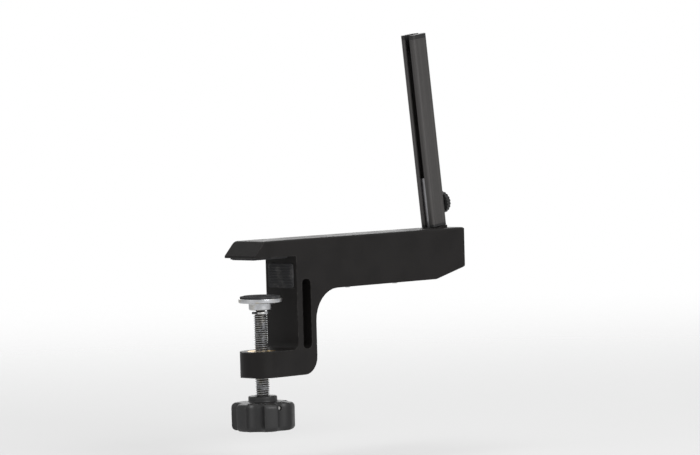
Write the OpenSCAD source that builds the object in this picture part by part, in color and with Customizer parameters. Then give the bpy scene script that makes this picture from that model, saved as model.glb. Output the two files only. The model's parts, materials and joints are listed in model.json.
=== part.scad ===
// Table tennis net clamp: a C-shaped screw clamp whose long arm carries a leaning net post.
//
// Origin: centre of the upper pad's underside, on the clamp screw's axis.
// +X runs outboard from the table, +Y along the table's edge and +Z up.
// The table's top is the plane z = 0 and its edge is the plane x = edge_inset.

/* [Table fit] */
// Thickness of the table top that the clamp is set to
table_t = 25; // [20:1:32]
// Thinnest table top that the pads close on
table_min = 13; // [11:1:18]
// Thickest table top that fits between the pads
table_max = 50; // [44:1:60]
// Distance from the table's edge to the clamp screw's axis
edge_inset = 20; // [19:1:28]
// Height of the net that the post carries
net_h = 152.5; // [140:0.5:160]

/* [Clamp frame] */
// Width of the frame, along the table's edge
arm_w = 30; // [28:1:40]
// Height of the arm's top above the table
arm_top = 13; // [11:1:18]
// Depth of the arm outboard of the table
arm_depth = 36; // [34:1:44]
// Distance from the post's foot to the arm's outboard end
arm_past_post = 17; // [15:0.5:24]
// How far the underside rises at the outboard end
arm_taper = 8; // [4:1:9]
// Length of that rise
taper_l = 32; // [24:1:40]
// How far the upper jaw reaches inboard of the screw's axis
nose_reach = 20; // [19:1:26]
// Slope of the upper jaw's nose
nose_angle = 45; // [40:1:60]
// Thickness of the spine between the jaws
spine_t = 18.5; // [16:0.5:24]
// Thickness of the lower jaw
jaw_t = 18; // [15:1:24]
// Radius of the gusset between spine and arm
gusset_r = 22; // [12:1:26]
// Radius of the spine's lower corner
spine_r = 12; // [8:1:16]
// Radius in the corners of the jaws' mouth
mouth_r = 5; // [3:0.5:8]
// Radius where the underside starts to rise
taper_r = 6; // [4:1:12]
// Radius of the frame's long top edges
edge_r = 2.5; // [1:0.5:4]
// Side wall of the hollow arm
arm_wall = 3; // [2.5:0.5:5]
// Top wall of the hollow arm
arm_roof = 4; // [3:0.5:6]
// Thickness of the ribs inside the arm
rib_t = 2.5; // [2:0.5:4]
// Widest cell between two ribs
cell_max = 23; // [18:1:24]
// Depth of the side pockets that lighten the spine
web_depth = 8; // [4:1:10]
// Flange left on each side of those pockets
web_flange = 5; // [4:0.5:6]

/* [Pads] */
// How far a pad stands proud of its pocket
pad_proud = 1.5; // [1:0.25:2.5]
// Depth of a pad's pocket
pad_sunk = 1; // [0.5:0.25:1.5]
// Length of the upper pad
jaw_pad_l = 34; // [28:1:36]
// Width of the upper pad and of the edge bumper
pad_w = 24; // [18:1:26]
// Distance from the edge bumper to the table's top and underside
bumper_margin = 4; // [2:0.5:6]

/* [Clamp screw] */
// Outer diameter of the screw's thread
screw_d = 10; // [8:1:12]
// Diameter of the ball on the screw's end
ball_d = 9; // [8:0.5:10]
// Diameter of the neck below the ball
neck_d = 5.8; // [5:0.2:6]
// Diameter of the pressure plate
plate_d = 30; // [26:1:34]
// Thickness of the pressure plate's disc
plate_t = 3; // [2:0.5:4]
// Diameter of the pressure plate's hub
plate_hub_d = 16; // [14:1:20]
// Thickness of the pad on the pressure plate
plate_pad_t = 2; // [1.5:0.5:3]
// Outer diameter of the ring on the screw's neck
ring_d = 12; // [10:1:14]
// Thickness of that ring
ring_t = 1.6; // [1.2:0.2:2.4]
// How far each side of that ring's mouth catches the neck
ring_snap = 0.3; // [0.2:0.05:0.5]
// Gap between that ring and the pressure plate's hub
ring_gap = 1.2; // [1:0.1:2]
// Metal left above the ball's socket
socket_roof = 1; // [0.8:0.1:1.5]
// Distance from the ball's centre down to the hub's end
socket_mouth = 2.5; // [2:0.1:3]
// Outer diameter of the threaded insert
insert_d = 16; // [14:1:20]
// Diameter of the insert's flange
insert_flange_d = 20; // [18:1:24]
// Thickness of the insert's flange
insert_flange_t = 2; // [1.5:0.5:3]

/* [Clamp knob] */
// Diameter of the clamp knob over its lobes
knob_d = 44; // [38:1:50]
// Height of the clamp knob with its hub
knob_h = 24; // [22:1:32]
// Height of the hub above the lobes
knob_hub_h = 4; // [2:0.5:6]
// Diameter of that hub
knob_hub_d = 20; // [18:1:24]
// Number of lobes
knob_lobes = 6; // [5:1:8]
// Radius of the flutes between the lobes
flute_r = 7; // [5:0.5:8]
// Depth that the flutes cut into the knob
flute_depth = 5.5; // [3:0.5:6]
// How far the screw reaches into the knob
knob_grip = 17; // [14:1:19]
// Diameter of the cross pin through knob and screw
knob_pin_d = 3; // [2:0.5:4]
// Distance from the knob's shoulder down to the cross pin
knob_pin_down = 4; // [3:0.5:6]
// Diameter of the cap in the knob's end
knob_cap_d = 18; // [14:1:22]
// Thickness of that cap
knob_cap_t = 2; // [1.5:0.5:3]

/* [Post] */
// Distance from the table's edge to the post, at half the net's height
post_out = 152.5; // [148:0.5:156]
// Angle by which the post leans towards the table
post_lean = 7; // [0:0.5:9]
// Length of the post with its foot and its cap
post_l = 140; // [130:1:150]
// Size of the post's section along the net
post_x = 15; // [14.5:0.5:18]
// Size of the post's section across the net
post_y = 13; // [12:0.5:16]
// Wall of the post
post_wall = 1.6; // [1.2:0.1:1.8]
// Radius of the post's corners
post_r = 2.5; // [1:0.5:3]
// Width of the slot for the net's hem
slot_w = 4.6; // [4.4:0.1:6]
// How far the post can be raised
post_lift = 12; // [6:1:14]
// Thickness of the foot under the post
foot_t = 2; // [1.5:0.5:3]
// Height of the foot's plug inside the post
foot_plug_h = 6.5; // [4:0.5:8]
// Thickness of the cap on the post
cap_t = 3; // [2:0.5:5]
// Depth of the cap's plug inside the post
cap_plug_h = 8; // [5:1:12]
// Wall of the cap's plug
cap_plug_t = 1.5; // [1:0.1:1.6]
// Diameter of the groove for the net's tension cord
cord_groove_d = 3.2; // [2:0.2:4]

/* [Post tongue] */
// Thickness of the tongue that the post slides on
tongue_t = 5; // [4:0.25:5.5]
// How far the tongue stands past the lock's shoe when the post is raised
tongue_past = 4.5; // [2:0.5:8]
// Depth of the tongue in the arm
tongue_down = 18; // [14:1:19]
// Diameter of the screw that holds the tongue
tongue_screw_d = 3; // [2.5:0.5:4]
// Casting left under the tongue
tongue_floor = 6; // [5:0.5:7]
// Depth of the thread in the tongue
tongue_thread = 12; // [8:1:16]

/* [Lock screw] */
// Height of the lock screw above the post's seat
lock_h = 16; // [14:0.5:19]
// Outer diameter of the lock screw's thread
lock_d = 5; // [4:0.5:6]
// How far the lock screw backs out
lock_open = 1.6; // [1:0.1:1.8]
// Diameter of the lock knob
lock_knob_d = 16; // [12:1:20]
// Thickness of the lock knob
lock_knob_t = 4.4; // [3.5:0.1:6]
// Gap between the lock knob and the post
lock_knob_gap = 0.9; // [0.6:0.1:1.5]
// Number of grooves round the lock knob
lock_grooves = 20; // [12:1:24]
// Diameter of the shoe on the lock screw's tip
shoe_d = 7; // [6:0.5:8]
// Thickness of the shoe
shoe_t = 1.4; // [1.2:0.1:1.6]
// Height of the nut inside the post
nut_h = 8.5; // [7:0.5:10]

/* [Arm cover] */
// Thickness of the cover under the arm
cover_t = 2; // [1.5:0.5:3]
// Ledge that the cover rests on, outside the cells
cover_ledge = 1; // [0.5:0.25:1.5]
// Diameter of the small screws in the cover and the cleat
small_screw_d = 3; // [2.5:0.5:3.5]
// Length of those screws under the head
small_screw_l = 10; // [8:1:12]

/* [Cord cleat] */
// Distance from the cleat's middle down from the table's top
cleat_down = 7.5; // [6:0.5:8]
// Width of the cleat's base
cleat_w = 18; // [17:1:24]
// Height of the cleat's base
cleat_base_h = 10; // [8:0.5:12]
// Thickness of the cleat's base
cleat_base_t = 2.5; // [2:0.5:4]
// Length of the cleat's horns from tip to tip
cleat_horns = 15; // [12:0.5:18]
// Thickness of the horns
cleat_horn_t = 3; // [2.5:0.5:4]
// Gap between the base and the horns
cleat_gap = 3.5; // [2.5:0.5:5]

/* [Fits] */
// Gap between a fixed piece and its pocket
seat_gap = 0.1; // [0.05:0.05:0.15]
// Radial gap between a shaft and its bore
run_gap = 0.05; // [0.02:0.01:0.1]
// Gap between sliding flat faces
slide_gap = 0.3; // [0.2:0.05:0.4]

/* [Hidden] */
$fn = 64;
arc_steps = 8;
eps = 0.01;
over = 5;               // how far a cutting solid passes a face

// Frame, in x
spine_x = edge_inset + pad_proud;
spine_out = spine_x + spine_t;
nose_x = -nose_reach;
nose_top_x = nose_x + (arm_top - pad_proud) / tan(nose_angle);
// Frame, in z
arm_bottom = arm_top - arm_depth;
end_bottom = arm_bottom + arm_taper;
socket_r = ball_d / 2 + run_gap;
stack_h = plate_pad_t + socket_roof + socket_r + socket_mouth + ring_gap + ring_t;
jaw_top = -(table_max + stack_h + 2 * slide_gap);
jaw_bottom = jaw_top - jaw_t;
boss_r = arm_w / 2;
// Post, in a frame that leans with it: origin on its seat, z up the post, x outboard
seat_border = 0.5;
seat_rise = (post_x / 2 + seat_border) * tan(post_lean) + 0.1;
foot_z = arm_top + seat_rise;
foot_x = edge_inset + post_out + (net_h / 2 - foot_z) * tan(post_lean);
arm_end = foot_x + arm_past_post;
taper_x = arm_end - taper_l;               // where the underside starts to rise

// Hollow of the arm and its cover
cell_x0 = spine_out + gusset_r + rib_t;
cell_x1 = taper_x - 2 * rib_t;
cell_y = arm_w / 2 - arm_wall;
cell_top = arm_top - arm_roof;
cover_top = arm_bottom + cover_t;
cell_n = ceil((cell_x1 - cell_x0 + rib_t) / (cell_max + rib_t));
cell_l = (cell_x1 - cell_x0 + rib_t) / cell_n - rib_t;
boss_xs = [cell_x0 + cell_l + rib_t / 2, cell_x1 - cell_l - rib_t / 2];
cover_boss_r = 3.5;
small_head_r = small_screw_d * 0.9;
small_head_h = small_screw_d * 0.55;
small_r = small_screw_d / 2;

// Clamp screw stack, downwards from the table's underside
plate_top = -table_t - plate_pad_t;
ball_z = plate_top - socket_roof - socket_r;
hub_end = ball_z - socket_mouth;
ring_top = hub_end - ring_gap;
ring_bottom = ring_top - ring_t;
thread_top = ring_bottom - slide_gap;
travel_up = table_t - table_min;
knob_top = jaw_bottom - travel_up - 1;
knob_bottom = knob_top - knob_h;
screw_end = knob_top - knob_grip;
flute_centre = knob_d / 2 - flute_depth + flute_r;
knob_pin_z = knob_top - knob_hub_h - knob_pin_down;
knob_pin_l = 2 * (knob_d / 2 - flute_depth) - 1;

// Inside the post, in the leaning frame
cav_x = post_x / 2 - post_wall;
cav_y = post_y / 2 - post_wall;
post_z0 = slide_gap + foot_t;
post_z1 = post_l - cap_t;
tongue_x0 = -cav_x + slide_gap;
tongue_x1 = tongue_x0 + tongue_t;
tongue_mid = (tongue_x0 + tongue_x1) / 2;
tongue_y = cav_y - slide_gap;
tongue_end = -tongue_down;
tongue_up = lock_h + post_lift + shoe_d / 2 + tongue_past;
head_z = tongue_end - seat_gap - tongue_floor;
tongue_r = tongue_screw_d / 2;
cap_head_r = tongue_screw_d * 0.85;
cap_head_h = tongue_screw_d;

// Lock screw, along the post frame's x
shoe_x0 = tongue_x1 + run_gap;
shoe_x1 = shoe_x0 + shoe_t;
nut_x0 = shoe_x1 + lock_open + slide_gap;
nut_x1 = cav_x - slide_gap / 2;
lock_r = lock_d / 2;
tip_r = 1.5;
tip_depth = 0.9;
lock_knob_x0 = post_x / 2 + lock_knob_gap;
lock_knob_x1 = lock_knob_x0 + lock_knob_t;
lock_bore_x = lock_knob_x1 - 1.5;

// Cleat
cleat_z = -cleat_down;
cleat_x1 = arm_end + cleat_base_t;
cleat_x2 = cleat_x1 + cleat_gap;
cleat_x3 = cleat_x2 + cleat_horn_t;
cleat_stem_r = 2.5;
cleat_screw_y = cleat_w / 2 - 3;

// ---------- outlines ----------

function unit(v) = v / norm(v);

// Points of a closed outline whose corners [x, y, radius] are rounded with arcs.
function rounded(corners) =
    let (n = len(corners))
    [for (i = [0:n - 1])
        let (here = [corners[i][0], corners[i][1]],
             back = corners[(i + n - 1) % n],
             next = corners[(i + 1) % n],
             r = corners[i][2],
             u = unit([back[0], back[1]] - here),
             v = unit([next[0], next[1]] - here),
             half = acos(u * v) / 2,
             centre = here + unit(u + v) * r / sin(half),
             from = here + u * r / tan(half) - centre,
             to = here + v * r / tan(half) - centre,
             a0 = atan2(from[1], from[0]),
             sweep = (atan2(to[1], to[0]) - a0 + 540) % 360 - 180)
        each r == 0 ? [here] : [for (k = [0:arc_steps])
            centre + r * [cos(a0 + sweep * k / arc_steps), sin(a0 + sweep * k / arc_steps)]]];

// Rectangle from [x0, y0] to [x1, y1] with rounded corners.
function rounded_rect(x0, y0, x1, y1, r) =
    rounded([[x0, y0, r], [x1, y0, r], [x1, y1, r], [x0, y1, r]]);

// Box from one corner to the other.
module block(from, to) translate(from) cube(to - from);

// Outline in x and z, extruded across y.
module across(width, points) rotate([90, 0, 0]) linear_extrude(width, center = true) polygon(points);

// Cylinder along +x from x0 to x1.
module rod_x(r, x0, x1) translate([x0, 0, 0]) rotate([0, 90, 0]) cylinder(r = r, h = x1 - x0);

// Cylinder along +z from z0 to z1.
module rod_z(r, z0, z1) translate([0, 0, z0]) cylinder(r = r, h = z1 - z0);

// Places children in the frame that leans with the post.
module in_post() translate([foot_x, 0, foot_z]) rotate([0, -post_lean, 0]) children();

// Places children at the lock screw's axis.
module in_lock() in_post() translate([0, 0, lock_h]) children();

// ---------- clamp frame ----------

// Side view of the casting: nose, jaws, spine and arm.
function frame_outline() = rounded([
    [nose_x, pad_proud, 1],
    [spine_x, pad_proud, 1.2],
    [spine_x, jaw_top, mouth_r],
    [-boss_r, jaw_top, 1.5],
    [-boss_r, jaw_bottom, 2],
    [spine_out, jaw_bottom, spine_r],
    [spine_out, arm_bottom, gusset_r],
    [taper_x, arm_bottom, taper_r],
    [arm_end, end_bottom, 4],
    [arm_end, arm_top, 2.5],
    [nose_top_x, arm_top, 2.5]]);

// End view of the casting: rounded along the arm's top edges.
function end_outline() = rounded([
    [-arm_w / 2, jaw_bottom - over, 0],
    [arm_w / 2, jaw_bottom - over, 0],
    [arm_w / 2, arm_top, edge_r],
    [-arm_w / 2, arm_top, edge_r]]);

// The casting before anything is cut into it.
module frame_blank() {
    intersection() {
        across(arm_w, frame_outline());
        translate([nose_x - over, 0, 0]) rotate([90, 0, 90])
            linear_extrude(arm_end - nose_x + 2 * over) polygon(end_outline());
        translate([0, 0, jaw_bottom - over]) linear_extrude(arm_top - jaw_bottom + 2 * over)
            polygon(rounded_rect(nose_x, -arm_w / 2, arm_end, arm_w / 2, 2));
    }
    in_post() translate([0, 0, -seat_rise - 1]) linear_extrude(seat_rise + 1)
        polygon(rounded_rect(-post_x / 2 - seat_border, -post_y / 2 - seat_border,
                             post_x / 2 + seat_border, post_y / 2 + seat_border, post_r));
}

// Rounds the lower jaw's end about the screw's axis.
module jaw_corners() difference() {
    block([-boss_r - over, -boss_r - over, jaw_bottom - over], [0, boss_r + over, jaw_top + eps]);
    rod_z(boss_r, jaw_bottom - 2 * over, jaw_top + over);
}

// Pockets on both sides of the spine, which leave a web between two flanges.
module web_pockets() for (side = [-1, 1])
    translate([0, side * (arm_w / 2 - web_depth / 2 + over / 2), 0])
        across(web_depth + over, rounded_rect(spine_x + web_flange, jaw_top, spine_out - web_flange,
                                                  arm_bottom + web_depth, web_flange * 0.7));

// One cell after another between the ribs, with the screws' bosses left standing.
module arm_cells() difference() {
    for (i = [0:cell_n - 1]) let (x0 = cell_x0 + i * (cell_l + rib_t))
        block([x0, -cell_y, cover_top - 1], [x0 + cell_l, cell_y, cell_top]);
    for (x = boss_xs) translate([x, 0, 0]) rod_z(cover_boss_r, arm_bottom - over, cell_top + over);
}

// Recess for the cover, with its screws' holes.
module cover_recess() {
    translate([0, 0, arm_bottom - over]) linear_extrude(over + cover_t) polygon(cover_outline(0));
    for (x = boss_xs) translate([x, 0, 0])
        rod_z(small_r + run_gap, cover_top - 1, cover_top + small_screw_l + 0.5);
}

// Socket for the tongue, and the way in for its screw from below.
module tongue_socket() in_post() {
    block([tongue_x0 - seat_gap, -tongue_y - seat_gap, tongue_end - seat_gap],
          [tongue_x1 + seat_gap, tongue_y + seat_gap, over]);
    translate([tongue_mid, 0, 0]) {
        rod_z(tongue_r + 0.25, head_z - 1, tongue_end + 1);
        rod_z(cap_head_r + 0.6, head_z - arm_depth, head_z);
    }
}

module clamp_frame() color("#201e1f") difference() {
    frame_blank();
    jaw_corners();
    web_pockets();
    block([-jaw_pad_l / 2 - seat_gap, -pad_w / 2 - seat_gap, pad_proud - over],
          [jaw_pad_l / 2 + seat_gap, pad_w / 2 + seat_gap, pad_proud + pad_sunk]);
    block([spine_x - over, -pad_w / 2 - seat_gap, bumper_z0 - seat_gap],
          [spine_x + pad_sunk, pad_w / 2 + seat_gap, bumper_z1 + seat_gap]);
    rod_z(insert_d / 2 + run_gap, jaw_bottom - over, jaw_top + over);
    rod_z(insert_flange_d / 2 + seat_gap, jaw_top - insert_flange_t - seat_gap, jaw_top + over);
    arm_cells();
    cover_recess();
    tongue_socket();
    for (side = [-1, 1]) translate([0, side * cleat_screw_y, cleat_z])
        rod_x(small_r + run_gap, arm_end - small_screw_l + cleat_base_t - 0.5, arm_end + over);
}

// Soft pad under the upper jaw.
module top_jaw_pad() color("#3a3a3c") linear_extrude(pad_proud + pad_sunk - seat_gap)
    polygon(rounded_rect(-jaw_pad_l / 2, -pad_w / 2, jaw_pad_l / 2, pad_w / 2, 2));

bumper_z1 = -bumper_margin;
bumper_z0 = -table_t + bumper_margin;

// Soft bumper that meets the table's edge.
module edge_bumper() color("#3a3a3c") translate([edge_inset, 0, 0]) rotate([90, 0, 90])
    linear_extrude(pad_proud + pad_sunk - seat_gap)
        polygon(rounded_rect(-pad_w / 2, bumper_z0, pad_w / 2, bumper_z1, 2));

// Flanged bush in the lower jaw that the clamp screw runs in.
module thread_insert() color("#b8975a") difference() {
    union() {
        rod_z(insert_d / 2, jaw_bottom, jaw_top - insert_flange_t / 2);
        rod_z(insert_flange_d / 2, jaw_top - insert_flange_t, jaw_top);
    }
    rod_z(screw_d / 2 + run_gap, jaw_bottom - over, jaw_top + over);
}

function cover_outline(gap) = rounded_rect(
    cell_x0 - cover_ledge + gap, -cell_y - cover_ledge + gap,
    cell_x1 + cover_ledge - gap, cell_y + cover_ledge - gap, 1.5);

// Flat cover that closes the arm's underside.
module arm_cover() color("#262527") difference() {
    translate([0, 0, arm_bottom]) linear_extrude(cover_t - seat_gap / 2) polygon(cover_outline(seat_gap));
    for (x = boss_xs) translate([x, 0, 0]) rod_z(small_r + 0.2, arm_bottom - over, cover_top + over);
}

// Small round-headed screw, its head's underside at z = 0 and its shank up +z.
module small_screw() difference() {
    union() {
        rod_z(small_r, -small_head_h / 2, small_screw_l);
        intersection() {
            rod_z(small_head_r, -small_head_h, 0);
            translate([0, 0, small_head_r * 0.75]) sphere(small_head_r * 1.42);
        }
    }
    for (turn = [0, 90]) rotate(turn)
        block([-small_r, -0.35, -small_head_h - over], [small_r, 0.35, -small_head_h * 0.45]);
}

module cover_screws() color("#8c8d90") for (x = boss_xs)
    translate([x, 0, arm_bottom]) small_screw();

// Steel tongue that stands out of the arm and guides the post.
module post_tongue() color("#9a9b9e") in_post() difference() {
    intersection() {
        block([tongue_x0, -tongue_y, tongue_end], [tongue_x1, tongue_y, tongue_up]);
        translate([tongue_x0 - over, 0, 0]) rotate([90, 0, 90]) linear_extrude(tongue_t + 2 * over)
            polygon(rounded([[-tongue_y, tongue_end, 0], [tongue_y, tongue_end, 0],
                             [tongue_y, tongue_up, 2.5], [-tongue_y, tongue_up, 2.5]]));
    }
    translate([tongue_mid, 0, 0])
        rod_z(tongue_r + run_gap, tongue_end - over, tongue_end + tongue_thread);
}

// Socket-head screw that pulls the tongue down into the arm.
module tongue_screw() color("#6f7073") in_post() translate([tongue_mid, 0, 0]) difference() {
    union() {
        rod_z(cap_head_r, head_z - cap_head_h, head_z);
        rod_z(tongue_r, head_z - 1, tongue_end + tongue_thread - 1);
    }
    translate([0, 0, head_z - cap_head_h - over]) cylinder(r = tongue_r * 0.9, h = over + cap_head_h / 2, $fn = 6);
}

// ---------- cord cleat ----------

module cord_cleat() color("#262527") difference() {
    translate([0, 0, cleat_z]) {
        translate([arm_end, 0, 0]) rotate([90, 0, 90]) linear_extrude(cleat_base_t)
            polygon(rounded_rect(-cleat_w / 2, -cleat_base_h / 2, cleat_w / 2, cleat_base_h / 2, 2.5));
        rod_x(cleat_stem_r, arm_end + eps, cleat_x3 - eps);
        translate([cleat_x2, 0, 0]) rotate([90, 0, 90]) linear_extrude(cleat_horn_t)
            polygon(rounded_rect(-cleat_stem_r - 0.3, -cleat_horns / 2, cleat_stem_r + 0.3, cleat_horns / 2, 2.5));
    }
    for (side = [-1, 1]) translate([0, side * cleat_screw_y, cleat_z])
        rod_x(small_r + 0.2, arm_end - over, cleat_x1 + over);
}

module cleat_screws() color("#8c8d90") for (side = [-1, 1])
    translate([cleat_x1, side * cleat_screw_y, cleat_z]) rotate([0, -90, 0]) small_screw();

// ---------- clamp screw ----------

// Retaining ring on the neck, which rises and falls with the screw but doesn't turn.
// Its mouth, a little narrower than the neck, lets it be pressed on from the side.
module neck_ring() color("#b9babd") difference() {
    rod_z(ring_d / 2, ring_bottom, ring_top);
    rod_z(neck_d / 2 + run_gap, ring_bottom - over, ring_top + over);
    block([-ring_d, ring_snap - neck_d / 2, ring_bottom - over],
          [0, neck_d / 2 - ring_snap, ring_top + over]);
}

module clamp_screw() color("#b9babd") difference() {
    union() {
        translate([0, 0, ball_z]) sphere(ball_d / 2);
        rod_z(neck_d / 2, thread_top - 1, ball_z);
        rotate_extrude() polygon([
            [0, screw_end], [screw_d / 2 - 1, screw_end], [screw_d / 2, screw_end + 1],
            [screw_d / 2, thread_top - 1], [screw_d / 2 - 1, thread_top], [0, thread_top]]);
    }
    translate([0, 0, knob_pin_z]) rotate([90, 0, 0])
        cylinder(r = knob_pin_d / 2 + run_gap, h = screw_d + over, center = true);
}

// Star knob: a turned shape whose lobes are left between its flutes.
module clamp_knob() color("#1d1d1f") difference() {
    intersection() {
        rotate_extrude() polygon(rounded([
            [0, knob_bottom, 0], [knob_d / 2, knob_bottom, 4], [knob_d / 2, knob_top - knob_hub_h, 4],
            [knob_hub_d / 2, knob_top - knob_hub_h, 1], [knob_hub_d / 2, knob_top, 1], [0, knob_top, 0]]));
        translate([0, 0, knob_bottom - over]) linear_extrude(knob_h + 2 * over) difference() {
            circle(knob_d / 2 + 1);
            for (i = [0:knob_lobes - 1]) rotate(90 + i * 360 / knob_lobes)
                translate([flute_centre, 0]) circle(flute_r);
        }
    }
    rod_z(screw_d / 2 + run_gap, screw_end - slide_gap, knob_top + over);
    rod_z(knob_cap_d / 2 + seat_gap, knob_bottom - over, knob_bottom + knob_cap_t);
    translate([0, 0, knob_pin_z]) rotate([90, 0, 0])
        cylinder(r = knob_pin_d / 2 + run_gap, h = knob_d + over, center = true);
}

module knob_pin() color("#8c8d90") translate([0, 0, knob_pin_z]) rotate([90, 0, 0])
    cylinder(r = knob_pin_d / 2, h = knob_pin_l, center = true);

// Low domed cap that closes the knob's end.
module knob_cap() color("#2b2b2e") rotate_extrude() polygon(rounded([
    [0, knob_bottom, 0], [knob_cap_d / 2, knob_bottom, 0.6],
    [knob_cap_d / 2, knob_bottom + knob_cap_t - seat_gap, 0], [0, knob_bottom + knob_cap_t - seat_gap, 0]]));

// Swivelling plate with the ball's socket in its hub.
module pressure_plate() color("#a9aaad") difference() {
    rotate_extrude() polygon(rounded([
        [0, hub_end, 0], [plate_hub_d / 2, hub_end, 1], [plate_hub_d / 2, plate_top - plate_t, 1.2],
        [plate_d / 2, plate_top - plate_t, 1], [plate_d / 2, plate_top, 0.5], [0, plate_top, 0]]));
    translate([0, 0, ball_z]) sphere(socket_r);
}

module plate_pad() color("#3a3a3c") rod_z(plate_d / 2 - 1, plate_top, -table_t);

// ---------- post ----------

// Section of the post: a channel whose slot faces the net.
function channel_outline(outer_r, slot, inner_x, inner_y) = rounded([
    [-post_x / 2, -post_y / 2, outer_r], [post_x / 2, -post_y / 2, outer_r],
    [post_x / 2, post_y / 2, outer_r], [-post_x / 2, post_y / 2, outer_r],
    [-post_x / 2, slot / 2, 0.3], [-cav_x, slot / 2, 0.3],
    [-cav_x, inner_y, 0], [inner_x, inner_y, 0.8],
    [inner_x, -inner_y, 0.8], [-cav_x, -inner_y, 0],
    [-cav_x, -slot / 2, 0.3], [-post_x / 2, -slot / 2, 0.3]]);

module post() color("#4a4a4d") difference() {
    in_post() translate([0, 0, post_z0]) linear_extrude(post_z1 - post_z0)
        polygon(channel_outline(post_r, slot_w, cav_x, cav_y));
    in_lock() rod_x(lock_r + slide_gap, cav_x - over / 2, post_x / 2 + over);
}

// Moulded foot under the post, with a plug beside the tongue.
module post_foot() color("#262527") in_post() {
    translate([0, 0, slide_gap]) linear_extrude(foot_t)
        polygon(channel_outline(post_r, slot_w, cav_x, cav_y));
    translate([0, 0, slide_gap]) linear_extrude(foot_t + foot_plug_h)
        polygon(rounded_rect(tongue_x1 + 1.8, -cav_y + seat_gap, cav_x - seat_gap, cav_y - seat_gap, 0.8));
    block([cav_x - 1.5, -cav_y - 0.2, slide_gap], [cav_x + 0.2, cav_y + 0.2, slide_gap + foot_t]);
}

// Cap on the post: open above the channel, with a groove for the tension cord.
module post_cap() color("#262527") in_post() difference() {
    union() {
        translate([0, 0, post_z1]) linear_extrude(cap_t)
            polygon(channel_outline(post_r, slot_w, cap_bore_x, cap_bore_y));
        difference() {
            translate([0, 0, post_z1 - cap_plug_h]) linear_extrude(cap_plug_h + cap_t / 2)
                polygon(rounded_rect(-cap_plug_x, -cap_plug_y, cap_plug_x, cap_plug_y, 0.8));
            block([-post_x, -cap_bore_y, post_z1 - cap_plug_h - over], [cap_bore_x, cap_bore_y, post_l + over]);
        }
    }
    translate([0, 0, post_l]) rod_x(cord_groove_d / 2, cap_bore_x - over, post_x / 2 + over);
}

cap_plug_x = cav_x - seat_gap;
cap_plug_y = cav_y - seat_gap;
cap_bore_x = cap_plug_x - cap_plug_t;
cap_bore_y = cap_plug_y - cap_plug_t;

// ---------- lock screw ----------

// Square nut held between the post's side walls.
module lock_nut() color("#8c8d90") in_lock() difference() {
    translate([0, 0, -nut_h / 2]) linear_extrude(nut_h)
        polygon(rounded_rect(nut_x0, -cav_y + seat_gap, nut_x1, cav_y - seat_gap, 0.9));
    rod_x(lock_r + run_gap, nut_x0 - over, nut_x1 + over);
}

// Brass shoe that the screw's tip presses against the tongue.
module lock_shoe() color("#b8975a") in_lock() difference() {
    rod_x(shoe_d / 2, shoe_x0, shoe_x1);
    rod_x(tip_r + run_gap, shoe_x1 - tip_depth, shoe_x1 + over);
}

module lock_screw() color("#b9babd") in_lock() {
    rod_x(tip_r, shoe_x1 - tip_depth + run_gap, shoe_x1 + 1);
    rod_x(lock_r, shoe_x1 + 0.15, lock_bore_x - run_gap);
}

// Round knob of the lock screw, grooved round its rim.
module lock_knob() color("#1d1d1f") in_lock() difference() {
    rotate([0, 90, 0]) rotate_extrude() polygon(rounded([
        [0, lock_knob_x0, 0], [lock_knob_d / 2, lock_knob_x0, 0.8],
        [lock_knob_d / 2, lock_knob_x1, 1.2], [0, lock_knob_x1, 0]]));
    for (i = [0:lock_grooves - 1]) rotate([i * 360 / lock_grooves, 0, 0])
        translate([0, lock_knob_d / 2 + 0.35, 0]) rod_x(0.8, lock_knob_x0 - over, lock_knob_x1 + over);
    rod_x(lock_r + run_gap, lock_knob_x0 - over, lock_bore_x);
}

clamp_frame();
top_jaw_pad();
edge_bumper();
thread_insert();
arm_cover();
cover_screws();
post_tongue();
tongue_screw();
cord_cleat();
cleat_screws();
neck_ring();
clamp_screw();
clamp_knob();
knob_pin();
knob_cap();
pressure_plate();
plate_pad();
post();
post_foot();
post_cap();
lock_nut();
lock_shoe();
lock_screw();
lock_knob();
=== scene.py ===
"""Looks of a table tennis net clamp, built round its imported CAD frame.

Every CAD node is dressed by a mesh piece in the same place: castings and profiles get soft
edges, screws get real threads, knobs get flutes, pads get ribs, and each finish is procedural.
All lengths are metres; MM turns a size in millimetres into metres. FIT is the room between a
shaft and its bore.
"""

from __future__ import annotations

import json
import logging
import math
from collections.abc import Mapping, Sequence
from dataclasses import dataclass, field
from enum import Enum
from functools import cache

import bmesh
import bpy
from mathutils import Matrix, Quaternion, Vector

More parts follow.
